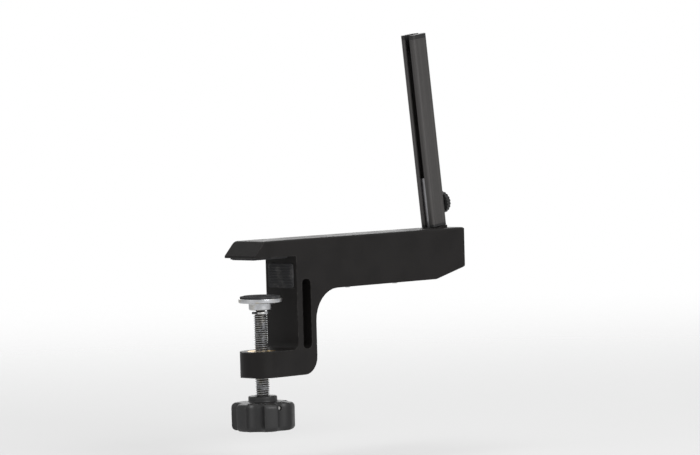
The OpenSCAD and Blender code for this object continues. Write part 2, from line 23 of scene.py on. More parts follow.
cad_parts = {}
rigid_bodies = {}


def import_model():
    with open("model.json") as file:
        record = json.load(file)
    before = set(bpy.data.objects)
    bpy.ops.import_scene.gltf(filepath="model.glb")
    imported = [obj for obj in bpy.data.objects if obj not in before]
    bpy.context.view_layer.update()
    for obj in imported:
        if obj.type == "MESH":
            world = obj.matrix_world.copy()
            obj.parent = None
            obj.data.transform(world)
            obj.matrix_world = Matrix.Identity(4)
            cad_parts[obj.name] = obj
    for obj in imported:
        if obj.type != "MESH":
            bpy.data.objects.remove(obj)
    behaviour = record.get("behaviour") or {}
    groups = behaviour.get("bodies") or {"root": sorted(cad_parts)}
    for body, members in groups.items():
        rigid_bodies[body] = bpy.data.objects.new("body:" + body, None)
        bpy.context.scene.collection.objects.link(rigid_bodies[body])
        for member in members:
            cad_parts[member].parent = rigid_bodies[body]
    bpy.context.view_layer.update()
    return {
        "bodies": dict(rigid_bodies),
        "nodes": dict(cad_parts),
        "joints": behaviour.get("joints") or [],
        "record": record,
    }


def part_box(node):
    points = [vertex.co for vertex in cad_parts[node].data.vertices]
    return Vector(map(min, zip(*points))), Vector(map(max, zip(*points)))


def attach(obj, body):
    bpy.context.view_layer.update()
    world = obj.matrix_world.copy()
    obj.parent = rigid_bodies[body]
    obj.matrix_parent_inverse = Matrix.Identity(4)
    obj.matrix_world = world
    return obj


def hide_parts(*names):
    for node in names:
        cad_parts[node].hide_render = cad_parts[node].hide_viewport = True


LOG = logging.getLogger("net_clamp")
MM = 0.001
MERGE = 0.001 * MM
FIT = 0.05 * MM
QUARTER = math.pi / 2

Colour = tuple[float, float, float]
Point2 = tuple[float, float]
Point3 = tuple[float, float, float]
Corner = tuple[float, float, float]


class Body(str, Enum):
    """Bodies of the frame that the pieces move with."""

    CLAMP = "clamp"
    RING = "screw_ring"
    SPINDLE = "spindle"
    PLATE = "swivel_plate"
    POST = "net_post"
    SHOE = "lock_shoe_slide"
    THUMBSCREW = "lock_thumbscrew"


class Slot(str, Enum):
    """Slots of the record that the finishes stand for."""

    FRAME_COAT = "frame_coat"
    POST_ANODISED = "post_anodised"
    PAD_RUBBER = "pad_rubber"
    MOULDED_BLACK = "moulded_black"
    ZINC_STEEL = "zinc_steel"
    BAR_STEEL = "bar_steel"
    BLACK_STEEL = "black_steel"
    BRASS = "brass"


# ---------- node graphs ----------


class Wire:
    """A value that flows out of a node and combines by plain operators."""

    def __init__(self, graph: Graph, socket: bpy.types.NodeSocket) -> None:
        """Keeps the graph and the output socket that the value comes from."""
        self.graph = graph
        self.socket = socket

    def __add__(self, other: Wire | float) -> Wire:
        """Returns the sum."""
        return self.graph.math("ADD", self, other)

    def __sub__(self, other: Wire | float) -> Wire:
        """Returns the difference."""
        return self.graph.math("SUBTRACT", self, other)

    def __rsub__(self, other: float) -> Wire:
        """Returns a plain number less this value."""
        return self.graph.math("SUBTRACT", other, self)

    def __mul__(self, other: Wire | float) -> Wire:
        """Returns the product."""
        return self.graph.math("MULTIPLY", self, other)

    def __truediv__(self, other: Wire | float) -> Wire:
        """Returns the quotient."""
        return self.graph.math("DIVIDE", self, other)

    def floor(self) -> Wire:
        """Returns the value rounded down."""
        return self.graph.math("FLOOR", self)

    def at_least(self, other: Wire | float) -> Wire:
        """Returns the larger of two values."""
        return self.graph.math("MAXIMUM", self, other)

    def at_most(self, other: Wire | float) -> Wire:
        """Returns the smaller of two values."""
        return self.graph.math("MINIMUM", self, other)

    def over(self, other: Wire | float) -> Wire:
        """Returns 1 where this value is the larger and 0 elsewhere."""
        return self.graph.math("GREATER_THAN", self, other)


class Graph:
    """A shader or geometry node tree that is written as calls."""

    def __init__(self, tree: bpy.types.NodeTree) -> None:
        """Keeps the tree that the nodes go into."""
        self.tree = tree

    def node(self, kind: str, inputs: Mapping | None = None, **settings: object) -> bpy.types.Node:
        """Adds a node.

        Args:
            kind: Blender's name of the node type.
            inputs: Values or wires for its input sockets, by name or by place.
            settings: Properties of the node itself.

        Returns:
            The new node.
        """
        node = self.tree.nodes.new(kind)
        for name, value in settings.items():
            setattr(node, name, value)
        self.feed(node, inputs or {})
        return node

    def feed(self, node: bpy.types.Node, inputs: Mapping) -> None:
        """Sets a node's inputs, by name or by place, to plain values or links them to wires."""
        for name, value in inputs.items():
            if isinstance(value, Wire):
                self.tree.links.new(value.socket, node.inputs[name])
            else:
                node.inputs[name].default_value = value

    def add(self, kind: str, inputs: Mapping | None = None, output: int | str = 0,
            **settings: object) -> Wire:
        """Adds a node as node() does and returns the wire out of one of its outputs."""
        return Wire(self, self.node(kind, inputs, **settings).outputs[output])

    def math(self, operation: str, *values: Wire | float) -> Wire:
        """Adds a Math node.

        Args:
            operation: The node's operation.
            values: Its operands in order.

        Returns:
            The result.
        """
        return self.add("ShaderNodeMath", dict(enumerate(values)), operation=operation)

    def vector(self, x: Wire | float, y: Wire | float, z: Wire | float) -> Wire:
        """Returns a vector made of three values."""
        return self.add("ShaderNodeCombineXYZ", {"X": x, "Y": y, "Z": z})

    def distance(self, x: Wire, y: Wire) -> Wire:
        """Returns the distance from the Z axis."""
        return self.math("SQRT", x * x + y * y)

    def split(self, vector: Wire) -> tuple[Wire, Wire, Wire]:
        """Returns the three parts of a vector."""
        node = self.node("ShaderNodeSeparateXYZ", {0: vector})
        return Wire(self, node.outputs[0]), Wire(self, node.outputs[1]), Wire(self, node.outputs[2])

    def ease(self, value: Wire, low: Wire | float, high: Wire | float, to: Point2 = (0.0, 1.0)) -> Wire:
        """Maps a range of a value onto another, eased in and out.

        Args:
            value: What is mapped.
            low: Where the range starts.
            high: Where it ends.
            to: The result's values at the start and at the end.

        Returns:
            The mapped value, held at its ends.
        """
        inputs = {"Value": value, "From Min": low, "From Max": high, "To Min": to[0], "To Max": to[1]}
        return self.add("ShaderNodeMapRange", inputs, interpolation_type="SMOOTHSTEP")

    def blend(self, share: Wire | float, first: Wire | Colour, second: Wire | Colour) -> Wire:
        """Mixes two colours.

        Args:
            share: 0 for the first colour to 1 for the second.
            first: One colour.
            second: The other colour.

        Returns:
            The mixed colour.
        """
        colours = [c if isinstance(c, Wire) else (*c, 1.0) for c in (first, second)]
        inputs = {"Factor": share, 6: colours[0], 7: colours[1]}
        return self.add("ShaderNodeMix", inputs, output=2, data_type="RGBA")

    def noise(self, place: Wire, size: float, detail: float = 2.0, harshness: float = 0.5) -> Wire:
        """Adds cloudy noise.

        Args:
            place: Coordinates in metres.
            size: Rough size of its blotches in metres.
            detail: How many finer layers it has.
            harshness: How strong those layers are.

        Returns:
            A value that mostly lies between 0.3 and 0.7.
        """
        inputs = {"Vector": place, "Scale": 1 / size, "Detail": detail, "Roughness": harshness}
        return self.add("ShaderNodeTexNoise", inputs, output="Fac")


# ---------- finishes ----------


@dataclass(frozen=True)
class Finish:
    """A named, node-based surface on object coordinates.

    Attributes:
        name: The material's name.
        slot: The record's slot that the finish stands for; not used.
        colour: The surface's colour, linear.
        roughness: Middle of the surface's roughness.
        metallic: How far it is bare metal.
        cloud: Size in metres of the clouds in its roughness.
        edge_band: Width in metres of the band along its edges that wears and is lightened as a painted
            highlight.
    """

    name: str
    slot: Slot
    colour: Colour
    roughness: float
    metallic: float = 0.0
    cloud: float = 9 * MM
    edge_band: float = 1.2 * MM

    @cache
    def material(self) -> bpy.types.Material:
        """Returns the finish as a material, which is made once."""
        made = bpy.data.materials.new(self.name)
        made.use_nodes = True
        made.diffuse_color = (*self.colour, 1.0)
        graph = Graph(made.node_tree)
        place = graph.add("ShaderNodeTexCoord", output="Object")
        graph.feed(made.node_tree.nodes["Principled BSDF"],
                   {"Metallic": self.metallic, **self.surface(graph, place)})
        return made

    def surface(self, graph: Graph, place: Wire) -> dict[str, Wire | float]:
        """Describes the surface.

        Args:
            graph: The material's graph.
            place: Object coordinates in metres.

        Returns:
            Wires or plain values for the shader's sockets, by name.
        """
        raise NotImplementedError

    def uneven(self, graph: Graph, clouds: Wire, less: float, more: float) -> Wire:
        """Returns the roughness, which clouds take from less below its middle to more above."""
        return graph.ease(clouds, 0.3, 0.7, (self.roughness - less, self.roughness + more))

    def bump(self, graph: Graph, height: Wire, depth: float) -> Wire:
        """Returns the normal of a relief of that depth in metres."""
        return graph.add("ShaderNodeBump", {"Height": height, "Distance": depth, "Strength": 1.0})

    def edges(self, graph: Graph, place: Wire) -> Wire:
        """Finds the outer edges, broken up as handling wears them; the finishes lighten them as wear and as
        a painted highlight.

        Args:
            graph: The material's graph.
            place: Object coordinates in metres.

        Returns:
            0 on open surface to 1 on a worn edge that also takes a painted highlight.
        """
        # this edge mask carries both real wear and a painted edge highlight
        softened = graph.add("ShaderNodeBevel", {"Radius": self.edge_band}, samples=6)
        plain = graph.add("ShaderNodeNewGeometry", output="Normal")
        same = graph.add("ShaderNodeVectorMath", {0: softened, 1: plain}, output="Value",
                         operation="DOT_PRODUCT")
        turned = graph.ease(same, 0.985, 0.88)
        patchy = graph.ease(graph.noise(place, 4 * MM, detail=5.0, harshness=0.65), 0.44, 0.62)
        return turned * patchy


@dataclass(frozen=True)
class PowderCoat(Finish):
    """Baked powder on a casting: satin, with a fine orange peel and rubbed edges, lightened as wear and as a
    painted highlight.

    Attributes:
        peel: Size of the orange peel in metres.
        peel_depth: Its depth in metres.
        rubbed_and_highlight: Colour of the coat where hands and tables have rubbed it, which is also a
            painted highlight on its edges.
    """

    peel: float = 0.9 * MM
    peel_depth: float = 0.045 * MM
    rubbed_and_highlight: Colour = (0.060, 0.057, 0.054)
    cloud: float = 18 * MM
    edge_band: float = 1.3 * MM

    def surface(self, graph: Graph, place: Wire) -> dict[str, Wire | float]:
        """Returns the coat's colour, roughness and relief."""
        clouds = graph.noise(place, self.cloud, detail=3.0)
        specks = graph.noise(place, 0.35 * MM, detail=1.0)
        peel = graph.noise(place, self.peel, detail=1.0)
        wear_and_highlight = self.edges(graph, place)
        tinted = graph.blend(graph.ease(clouds, 0.35, 0.65), self.colour,
                             tuple(c * 1.25 for c in self.colour))
        # edges lighter: partly rubbed wear, partly a painted highlight
        colour = graph.blend(wear_and_highlight * 0.6, tinted, self.rubbed_and_highlight)
        roughness = self.uneven(graph, clouds, 0.05, 0.06) + (specks - 0.5) * 0.10 - wear_and_highlight * 0.10
        return {"Base Color": colour, "Roughness": roughness,
                "Normal": self.bump(graph, peel + specks * 0.35, self.peel_depth),
                "Specular IOR Level": 0.18}


@dataclass(frozen=True)
class Directional(Finish):
    """Metal with fine lines along the way it was drawn, upwards but for a lean.

    Attributes:
        lean: Angle in radians by which the lines lean about Y.
        stretch: Width of the lines as a share of their length.
        line: Width of the lines in metres.
        line_depth: Their depth in metres.
        shade: How much darker the dull patches are, as a share.
    """

    lean: float = 0.0
    stretch: float = 0.012
    line: float = 0.22 * MM
    line_depth: float = 0.008 * MM
    shade: float = 0.2
    cloud: float = 14 * MM

    def surface(self, graph: Graph, place: Wire) -> dict[str, Wire | float]:
        """Returns the metal's colour, roughness and lines."""
        upright = graph.add("ShaderNodeMapping", {"Vector": place, "Rotation": (0.0, self.lean, 0.0)})
        drawn = graph.add("ShaderNodeMapping", {"Vector": upright, "Scale": (1.0, 1.0, self.stretch)})
        lines = graph.noise(drawn, self.line, detail=3.0, harshness=0.7)
        streaks = graph.noise(drawn, self.line * 9, detail=2.0)
        clouds = graph.noise(place, self.cloud, detail=3.0)
        marks = graph.ease(graph.noise(place, 2.4 * MM, detail=5.0, harshness=0.65), 0.60, 0.72)
        dull = graph.ease(clouds * 0.3 + streaks * 0.7, 0.42, 0.58)
        colour = graph.blend(dull, self.colour, tuple(c * (1 - self.shade) for c in self.colour))
        roughness = self.uneven(graph, lines, 0.06, 0.06) + dull * 0.05 + marks * 0.08
        return {"Base Color": colour, "Roughness": roughness,
                "Normal": self.bump(graph, lines, self.line_depth)}


@dataclass(frozen=True)
class Moulded(Finish):
    """Moulded black plastic with the grain of a spark-eroded mould.

    Attributes:
        grain: Size of the grain in metres.
        grain_depth: Its depth in metres.
        wear_dust_and_sheen: Colour of the edges that fingers have polished, lighter as a painted sheen, and
            faintly of the dust.
    """

    grain: float = 0.28 * MM
    grain_depth: float = 0.026 * MM
    wear_dust_and_sheen: Colour = (0.045, 0.044, 0.043)

    def surface(self, graph: Graph, place: Wire) -> dict[str, Wire | float]:
        """Returns the plastic's colour, roughness and grain."""
        grain = graph.add("ShaderNodeTexVoronoi", {"Vector": place, "Scale": 1 / self.grain},
                          output="Distance", feature="SMOOTH_F1")
        clouds = graph.noise(place, self.cloud, detail=3.0)
        dust = graph.ease(graph.noise(place, 1.1 * MM, detail=4.0, harshness=0.7), 0.55, 0.75)
        wear_and_highlight = self.edges(graph, place)
        # edges lighter as a painted sheen where fingers polish them; dust takes a little of the same colour
        colour = graph.blend(wear_and_highlight * 0.5 + dust * 0.12, self.colour, self.wear_dust_and_sheen)
        roughness = self.uneven(graph, clouds, 0.04, 0.05) - wear_and_highlight * 0.14 + dust * 0.05
        return {"Base Color": colour, "Roughness": roughness,
                "Normal": self.bump(graph, grain, self.grain_depth)}


@dataclass(frozen=True)
class Rubber(Finish):
    """Matte rubber with a trace of chalky dust.

    Attributes:
        dust: Colour of the dust.
    """

    dust: Colour = (0.16, 0.155, 0.15)
    cloud: float = 6 * MM

    def surface(self, graph: Graph, place: Wire) -> dict[str, Wire | float]:
        """Returns the rubber's colour, roughness and skin."""
        skin = graph.noise(place, 0.28 * MM, detail=3.0, harshness=0.6)
        clouds = graph.noise(place, self.cloud, detail=4.0)
        dusty = graph.ease(clouds + (skin - 0.5) * 0.6, 0.50, 0.78) * 0.5
        return {"Base Color": graph.blend(dusty, self.colour, self.dust),
                "Roughness": self.uneven(graph, clouds, 0.05, 0.04),
                "Normal": self.bump(graph, skin, 0.05 * MM),
                "Specular IOR Level": 0.35}


@dataclass(frozen=True)
class Turned(Finish):
    """Metal off a lathe about the screw's axis: rings, and patchy darkening low in the threads.

    Attributes:
        warm: Colour of the plating where it has yellowed.
        root_dark: Colour of the patchy darkening low in the threads.
        ring: Width of the lathe's rings in metres.
        root_dark_from: Radius in metres below which the darkening is full, or 0 for none.
        root_dark_to: Radius in metres above which the metal is not darkened.
    """

    warm: Colour = (0.60, 0.55, 0.43)
    root_dark: Colour = (0.035, 0.030, 0.024)
    ring: float = 0.10 * MM
    root_dark_from: float = 0.0
    root_dark_to: float = 0.0
    cloud: float = 5 * MM

    def surface(self, graph: Graph, place: Wire) -> dict[str, Wire | float]:
        """Returns the metal's colour, roughness and rings."""
        x, y, z = graph.split(place)
        radius = graph.distance(x, y)
        rings = graph.noise(graph.vector(radius, 0.0, z), self.ring, detail=2.0, harshness=0.7)
        clouds = graph.noise(place, self.cloud, detail=4.0, harshness=0.6)
        tinted = graph.blend(graph.ease(clouds, 0.45, 0.75) * 0.6, self.colour, self.warm)
        roughness = self.uneven(graph, clouds, 0.07, 0.09) + (rings - 0.5) * 0.12
        if self.root_dark_to:
            # darker in patches towards the thread roots
            root_patches = graph.noise(place, 2.5 * MM, detail=3.0)
            low = graph.ease(radius, self.root_dark_from, self.root_dark_to, (1.0, 0.0))
            root_darkened = low * graph.ease(root_patches, 0.30, 0.55, (0.45, 0.95))
            tinted = graph.blend(root_darkened, tinted, self.root_dark)
        return {"Base Color": tinted, "Roughness": roughness,
                "Normal": self.bump(graph, rings, 0.004 * MM)}


@dataclass(frozen=True)
class Finishes:
    """The object's own finishes."""

    lean: float
    coat: PowderCoat = PowderCoat("frame_powder_coat", Slot.FRAME_COAT, (0.0110, 0.0100, 0.0097), 0.46)
    plastic: Moulded = Moulded("moulded_nylon", Slot.MOULDED_BLACK, (0.0160, 0.0158, 0.0162), 0.44)
    rubber: Rubber = Rubber("ribbed_rubber", Slot.PAD_RUBBER, (0.036, 0.036, 0.038), 0.82)
    zinc: Turned = Turned("zinc_plate", Slot.ZINC_STEEL, (0.60, 0.61, 0.63), 0.34, 1.0)
    thread: Turned = Turned("zinc_thread", Slot.ZINC_STEEL, (0.58, 0.59, 0.61), 0.31, 1.0,
                            root_dark_from=4.15 * MM, root_dark_to=4.85 * MM)
    brass: Turned = Turned("turned_brass", Slot.BRASS, (0.70, 0.50, 0.22), 0.30, 1.0,
                           warm=(0.45, 0.28, 0.11))
    black_steel: Turned = Turned("black_oxide", Slot.BLACK_STEEL, (0.060, 0.058, 0.060), 0.42, 1.0,
                                 warm=(0.075, 0.055, 0.040))

    @property
    def anodised(self) -> Directional:
        """Dark anodised extrusion, with die lines up the post."""
        return Directional("dark_anodising", Slot.POST_ANODISED, (0.082, 0.078, 0.076), 0.38, 0.35,
                           lean=self.lean, shade=0.16)

    @property
    def bar(self) -> Directional:
        """Bright drawn steel bar, with lines up the tongue."""
        return Directional("drawn_bar", Slot.BAR_STEEL, (0.42, 0.42, 0.43), 0.30, 1.0, lean=self.lean)


# ---------- meshes ----------


def linked(name: str, mesh: bpy.types.Mesh) -> bpy.types.Object:
    """Returns a new object with that mesh, linked to the scene."""
    piece = bpy.data.objects.new(name, mesh)
    bpy.context.scene.collection.objects.link(piece)
    return piece


def freed(name: str, shape: bmesh.types.BMesh) -> bpy.types.Object:
    """Turns a bmesh into an object as it is, and frees the bmesh."""
    mesh = bpy.data.meshes.new(name)
    shape.to_mesh(mesh)
    shape.free()
    return linked(name, mesh)


def from_bmesh(name: str, shape: bmesh.types.BMesh) -> bpy.types.Object:
    """Turns a bmesh into an object whose faces point outwards.

    Args:
        name: The object's name.
        shape: The shape, which is freed.

    Returns:
        The new object.
    """
    bmesh.ops.remove_doubles(shape, verts=shape.verts, dist=MERGE)
    bmesh.ops.dissolve_degenerate(shape, edges=shape.edges, dist=MERGE)
    bmesh.ops.recalc_face_normals(shape, faces=shape.faces)
    return freed(name, shape)


def evaluated(piece: bpy.types.Object) -> bpy.types.Mesh:
    """Returns a new mesh of a piece with its modifiers applied."""
    depsgraph = bpy.context.evaluated_depsgraph_get()
    return bpy.data.meshes.new_from_object(piece.evaluated_get(depsgraph), depsgraph=depsgraph)


def settle(piece: bpy.types.Object) -> bpy.types.Object:
    """Turns a piece's modifiers into plain mesh and returns the piece."""
    mesh = evaluated(piece)
    piece.modifiers.clear()
    piece.data = mesh
    return piece


def shaded(piece: bpy.types.Object, angle: float = 35.0) -> bpy.types.Object:
    """Shades a piece smooth up to an angle in degrees, with flat faces kept flat."""
    piece.data.shade_smooth()
    piece.data.set_sharp_from_angle(angle=math.radians(angle))
    weighted = piece.modifiers.new("flat_faces", "WEIGHTED_NORMAL")
    weighted.keep_sharp = True
    return settle(piece)


def bevelled(piece: bpy.types.Object, width: float) -> bpy.types.Object:
    """Rounds a piece's sharp edges, and less where edges lie close.

    Args:
        piece: The piece.
        width: Width of the rounding in metres.

    Returns:
        The same piece.
    """
    bevel = piece.modifiers.new("edges", "BEVEL")
    bevel.width = width
    bevel.segments = 3
    bevel.limit_method = "ANGLE"
    bevel.angle_limit = math.radians(30)
    bevel.use_clamp_overlap = True
    return settle(piece)


def skinned(piece: bpy.types.Object, voxel: float) -> bpy.types.Object:
    """Gives a piece one soft skin, as a moulding has.

    Args:
        piece: The piece.
        voxel: Size of the voxels in metres.

    Returns:
        The same piece, shaded smooth.
    """
    remesh = piece.modifiers.new("skin", "REMESH")
    remesh.mode = "VOXEL"
    remesh.voxel_size = voxel
    relax = piece.modifiers.new("relax", "SMOOTH")
    relax.factor = 0.5
    relax.iterations = 6
    return shaded(settle(piece), 60.0)


def joined(name: str, pieces: Sequence[bpy.types.Object]) -> bpy.types.Object:
    """Joins pieces into one new object and removes them."""
    shape = bmesh.new()
    for piece in pieces:
        shape.from_mesh(piece.data)
        bpy.data.objects.remove(piece)
    return freed(name, shape)


def moved(piece: bpy.types.Object, place: Matrix) -> bpy.types.Object:
    """Moves a piece's mesh, with its object left at the origin, and returns the piece."""
    piece.data.transform(place)
    return piece


def cut(piece: bpy.types.Object, tool: bpy.types.Object) -> bpy.types.Object:
    """Takes a tool's shape out of a piece, removes the tool and returns the piece."""
    boolean = piece.modifiers.new("cut", "BOOLEAN")
    boolean.operation = "DIFFERENCE"
    boolean.solver = "EXACT"
    boolean.object = tool
    settle(piece)
    bpy.data.objects.remove(tool)
    return piece


def rounded(corners: Sequence[Corner], steps: int = 6) -> list[Point2]:
    """Rounds the corners of a closed outline.

    Args:
        corners: Points as (x, y, radius).
        steps: Pieces in each arc.

    Returns:
        The outline's points.
    """
    points: list[Point2] = []
    for index, (x, y, radius) in enumerate(corners):
        here = Vector((x, y))
        if radius == 0:
            points.append((x, y))
            continue
        back = (Vector(corners[index - 1][:2]) - here).normalized()
        ahead = (Vector(corners[(index + 1) % len(corners)][:2]) - here).normalized()
        half = back.angle(ahead) / 2
        centre = here + (back + ahead).normalized() * radius / math.sin(half)
        start = here + back * radius / math.tan(half) - centre
        end = here + ahead * radius / math.tan(half) - centre
        first = math.atan2(start.y, start.x)
        sweep = (math.atan2(end.y, end.x) - first + 3 * math.pi) % (2 * math.pi) - math.pi
        for step in range(steps + 1):
            turn = first + sweep * step / steps
            points.append((centre.x + radius * math.cos(turn), centre.y + radius * math.sin(turn)))
    return points


def divided(outline: Sequence[Point2], step: float) -> list[Point2]:
    """Divides an outline's long stretches, with its first and last points kept apart.

    Args:
        outline: The outline's points.
        step: Longest stretch that is left whole.

    Returns:
        The finer outline.
    """
    points = [outline[0]]
    for near, far in zip(outline, outline[1:]):
        count = max(1, math.ceil(math.dist(near, far) / step))
        points += [(near[0] + (far[0] - near[0]) * k / count, near[1] + (far[1] - near[1]) * k / count)
                   for k in range(1, count + 1)]
    return points


def lathe(name: str, outline: Sequence[Point2], segments: int = 96) -> bpy.types.Object:
    """Turns an outline about +Z.

    Args:
        name: The object's name.
        outline: Closed outline as (radius, height); points on the axis become poles.
        segments: Faces round the axis.

    Returns:
        A closed solid.
    """
    shape = bmesh.new()
    turns = [2 * math.pi * step / segments for step in range(segments)]
    rings = [[shape.verts.new((r * math.cos(a), r * math.sin(a), z)) for a in turns] if r > MERGE
             else [shape.verts.new((0.0, 0.0, z))] for r, z in outline]
    for lower, upper in zip(rings, rings[1:] + rings[:1]):
        for step in range(segments):
            near, far = step % len(lower), (step + 1) % len(lower)
            corners = [lower[near], lower[far], upper[(step + 1) % len(upper)], upper[step % len(upper)]]
            distinct = list(dict.fromkeys(corners))
            if len(distinct) > 2:
                shape.faces.new(distinct)
    return from_bmesh(name, shape)


def prism(name: str, outline: Sequence[Point2], low: float, high: float) -> bpy.types.Object:
    """Extrudes an outline in x and y.

    Args:
        name: The object's name.
        outline: The outline's points.
        low: Height of its lower face.
        high: Height of its upper face.

    Returns:
        A closed solid.
    """
    shape = bmesh.new()
    rings = [[shape.verts.new((x, y, z)) for x, y in outline] for z in (low, high)]
    for ring in rings:
        shape.faces.new(ring)
    for step in range(len(outline)):
        after = (step + 1) % len(outline)
        shape.faces.new((rings[0][step], rings[0][after], rings[1][after], rings[1][step]))
    return from_bmesh(name, shape)


def rod(name: str, radius: float, low: float, high: float, segments: int = 32) -> bpy.types.Object:
    """Returns a plain round bar about +Z, from a low to a high end."""
    return lathe(name, [(0, low), (radius, low), (radius, high), (0, high)], segments)


def outline_box(x0: float, y0: float, x1: float, y1: float, radius: float = 0.0) -> list[Point2]:
    """Returns a rectangle's outline, with rounded corners where a radius is given."""
    return rounded([(x0, y0, radius), (x1, y0, radius), (x1, y1, radius), (x0, y1, radius)])


def blunt(value: float) -> float:
    """Returns a sine or cosine that swells a circle towards a square."""
    return math.copysign(abs(value) ** 0.7, value)


def shifted(x: float = 0.0, y: float = 0.0, z: float = 0.0) -> Matrix:
    """Returns a plain move."""
    return Matrix.Translation((x, y, z))


def quarter_turn(axis: str) -> Matrix:
    """Returns a turn by a right angle about an axis."""
    return Matrix.Rotation(QUARTER, 4, axis)


# ---------- geometry node trees ----------


class Tree:
    """A Geometry Nodes tree with named inputs, which ends as real, dressed mesh."""

    KINDS = {float: "NodeSocketFloat", int: "NodeSocketInt", tuple: "NodeSocketVector",
             bpy.types.Material: "NodeSocketMaterial", bpy.types.Object: "NodeSocketObject"}

    def __init__(self, name: str, inputs: Mapping[str, type]) -> None:
        """Makes an empty tree.

        Args:
            name: The tree's name.
            inputs: The kind of each named input.
        """
        self.tree = bpy.data.node_groups.new(name, "GeometryNodeTree")
        self.graph = Graph(self.tree)
        face = self.tree.interface
        face.new_socket("Geometry", in_out="INPUT", socket_type="NodeSocketGeometry")
        self.keys = {label: face.new_socket(label, in_out="INPUT", socket_type=self.KINDS[kind]).identifier
                     for label, kind in {**inputs, "Material": bpy.types.Material}.items()}
        face.new_socket("Geometry", in_out="OUTPUT", socket_type="NodeSocketGeometry")
        self.entry = self.graph.node("NodeGroupInput")

    def input(self, name: str) -> Wire:
        """Returns the wire of a named input."""
        return Wire(self.graph, self.entry.outputs[name])

    def end(self, geometry: Wire) -> None:
        """Closes the tree: instances become mesh and the material is set."""
        real = self.graph.add("GeometryNodeRealizeInstances", {"Geometry": geometry})
        inputs = {"Geometry": real, "Material": self.input("Material")}
        self.graph.node("NodeGroupOutput", {"Geometry": self.graph.add("GeometryNodeSetMaterial", inputs)})

    def grow(self, name: str, finish: Finish, values: Mapping[str, object],
             blank: bpy.types.Object | None = None) -> bpy.types.Object:
        """Runs the tree.

        Args:
            name: Name of the result.
            finish: Finish that the result gets.
            values: A value for each other named input.
            blank: Object that the tree works on, which is removed, or None.

        Returns:
            The result as a plain mesh.
        """
        seed = blank or linked(f"{name}_seed", bpy.data.meshes.new(f"{name}_seed"))
        modifier = seed.modifiers.new("tree", "NODES")
        modifier.node_group = self.tree
        for label, value in {**values, "Material": finish.material()}.items():
            modifier[self.keys[label]] = value
        mesh = evaluated(seed)
        bpy.data.objects.remove(seed)
        mesh.name = name
        return linked(name, mesh)


def thread_tree() -> Tree:
    """Builds the tree of a right-handed screw thread along +Z, closed at both ends.

    Four rows of a grid follow the helix in each pitch: the crest's two edges and the root's. Widths
    along the axis are shares of the pitch, and so is how far the rows start below and run past the ends.

    Returns:
        A tree with inputs Length, Radius, Pitch, Depth, Chamfer and Columns.
    """
    crest_width, root_width, below, past = 0.125, 0.25, 1.5, 0.3
    flank_width = (1.0 - crest_width - root_width) / 2
    tree = Tree("screw_thread", {"Length": float, "Radius": float, "Pitch": float, "Depth": float,
                                 "Chamfer": float, "Columns": int})
    graph, length, pitch = tree.graph, tree.input("Length"), tree.input("Pitch")
    rows = ((length / pitch).floor() + 4.0) * 4.0
    grid = graph.add("GeometryNodeMeshGrid", {
        "Size X": 1.0, "Size Y": 1.0, "Vertices X": tree.input("Columns") + 1.0, "Vertices Y": rows + 1.0})
    x, y, _ = graph.split(graph.add("GeometryNodeInputPosition"))
    turn = x + 0.5
    row = ((y + 0.5) * rows + 0.5).floor()
    edge = graph.math("MODULO", row, 4.0)
    root = edge.over(1.5)
    second = graph.math("MODULO", row, 2.0)
    along = root * (crest_width + flank_width) + second * (root * (root_width - crest_width) + crest_width)
    raw = ((row / 4.0).floor() + along + turn - below) * pitch
    height = raw.at_least(0.0).at_most(length)
    limit = tree.input("Radius") - tree.input("Chamfer") + height.at_most(length - height)
    inside = (raw / pitch).over(-past) * (past - (raw - length) / pitch).over(0.0)
    radius = (tree.input("Radius") - root * tree.input("Depth")).at_most(limit) * inside
    angle = turn * (2 * math.pi)
    place = graph.vector(graph.math("COSINE", angle) * radius, graph.math("SINE", angle) * radius, height)
    wound = graph.add("GeometryNodeSetPosition", {"Geometry": grid, "Position": place})
    tree.end(graph.add("GeometryNodeMergeByDistance", {"Geometry": wound, "Distance": MERGE}))
    return tree


def flute_tree() -> Tree:
    """Builds the tree that presses round flutes into a turned blank about +Z.

    Returns:
        A tree with inputs Count, First Angle, Outer Radius, Inner Radius, Centre, Flute Radius and Softness.
    """
    tree = Tree("knob_flutes", {"Count": int, "First Angle": float, "Outer Radius": float,
                                "Inner Radius": float, "Centre": float, "Flute Radius": float,
                                "Softness": float})
    steep = 3.0  # slope of the wall beyond a flute's edge, up to where the rim takes over
    graph, outer, centre = tree.graph, tree.input("Outer Radius"), tree.input("Centre")
    x, y, z = graph.split(graph.add("GeometryNodeInputPosition"))
    radius = graph.distance(x, y)
    half_share = graph.math("DIVIDE", math.pi, tree.input("Count"))
    turn = graph.math("WRAP", graph.math("ARCTAN2", y, x) - tree.input("First Angle"),
                      half_share, half_share * -1.0)
    aside = graph.math("ABSOLUTE", graph.math("SINE", turn)) * centre
    flute = tree.input("Flute Radius")
    depth = graph.math("SQRT", (flute * flute - aside * aside).at_least(0.0))
    wall = graph.math("COSINE", turn) * centre - depth + (aside - flute).at_least(0.0) * steep
    reach = graph.math("SMOOTH_MIN", outer, wall, tree.input("Softness"))
    share = graph.ease(radius, tree.input("Inner Radius"), outer)
    scale = (reach / outer - 1.0) * share + 1.0
    place = graph.vector(x * scale, y * scale, z)
    tree.end(graph.add("GeometryNodeSetPosition", {"Geometry": tree.input("Geometry"), "Position": place}))
    return tree


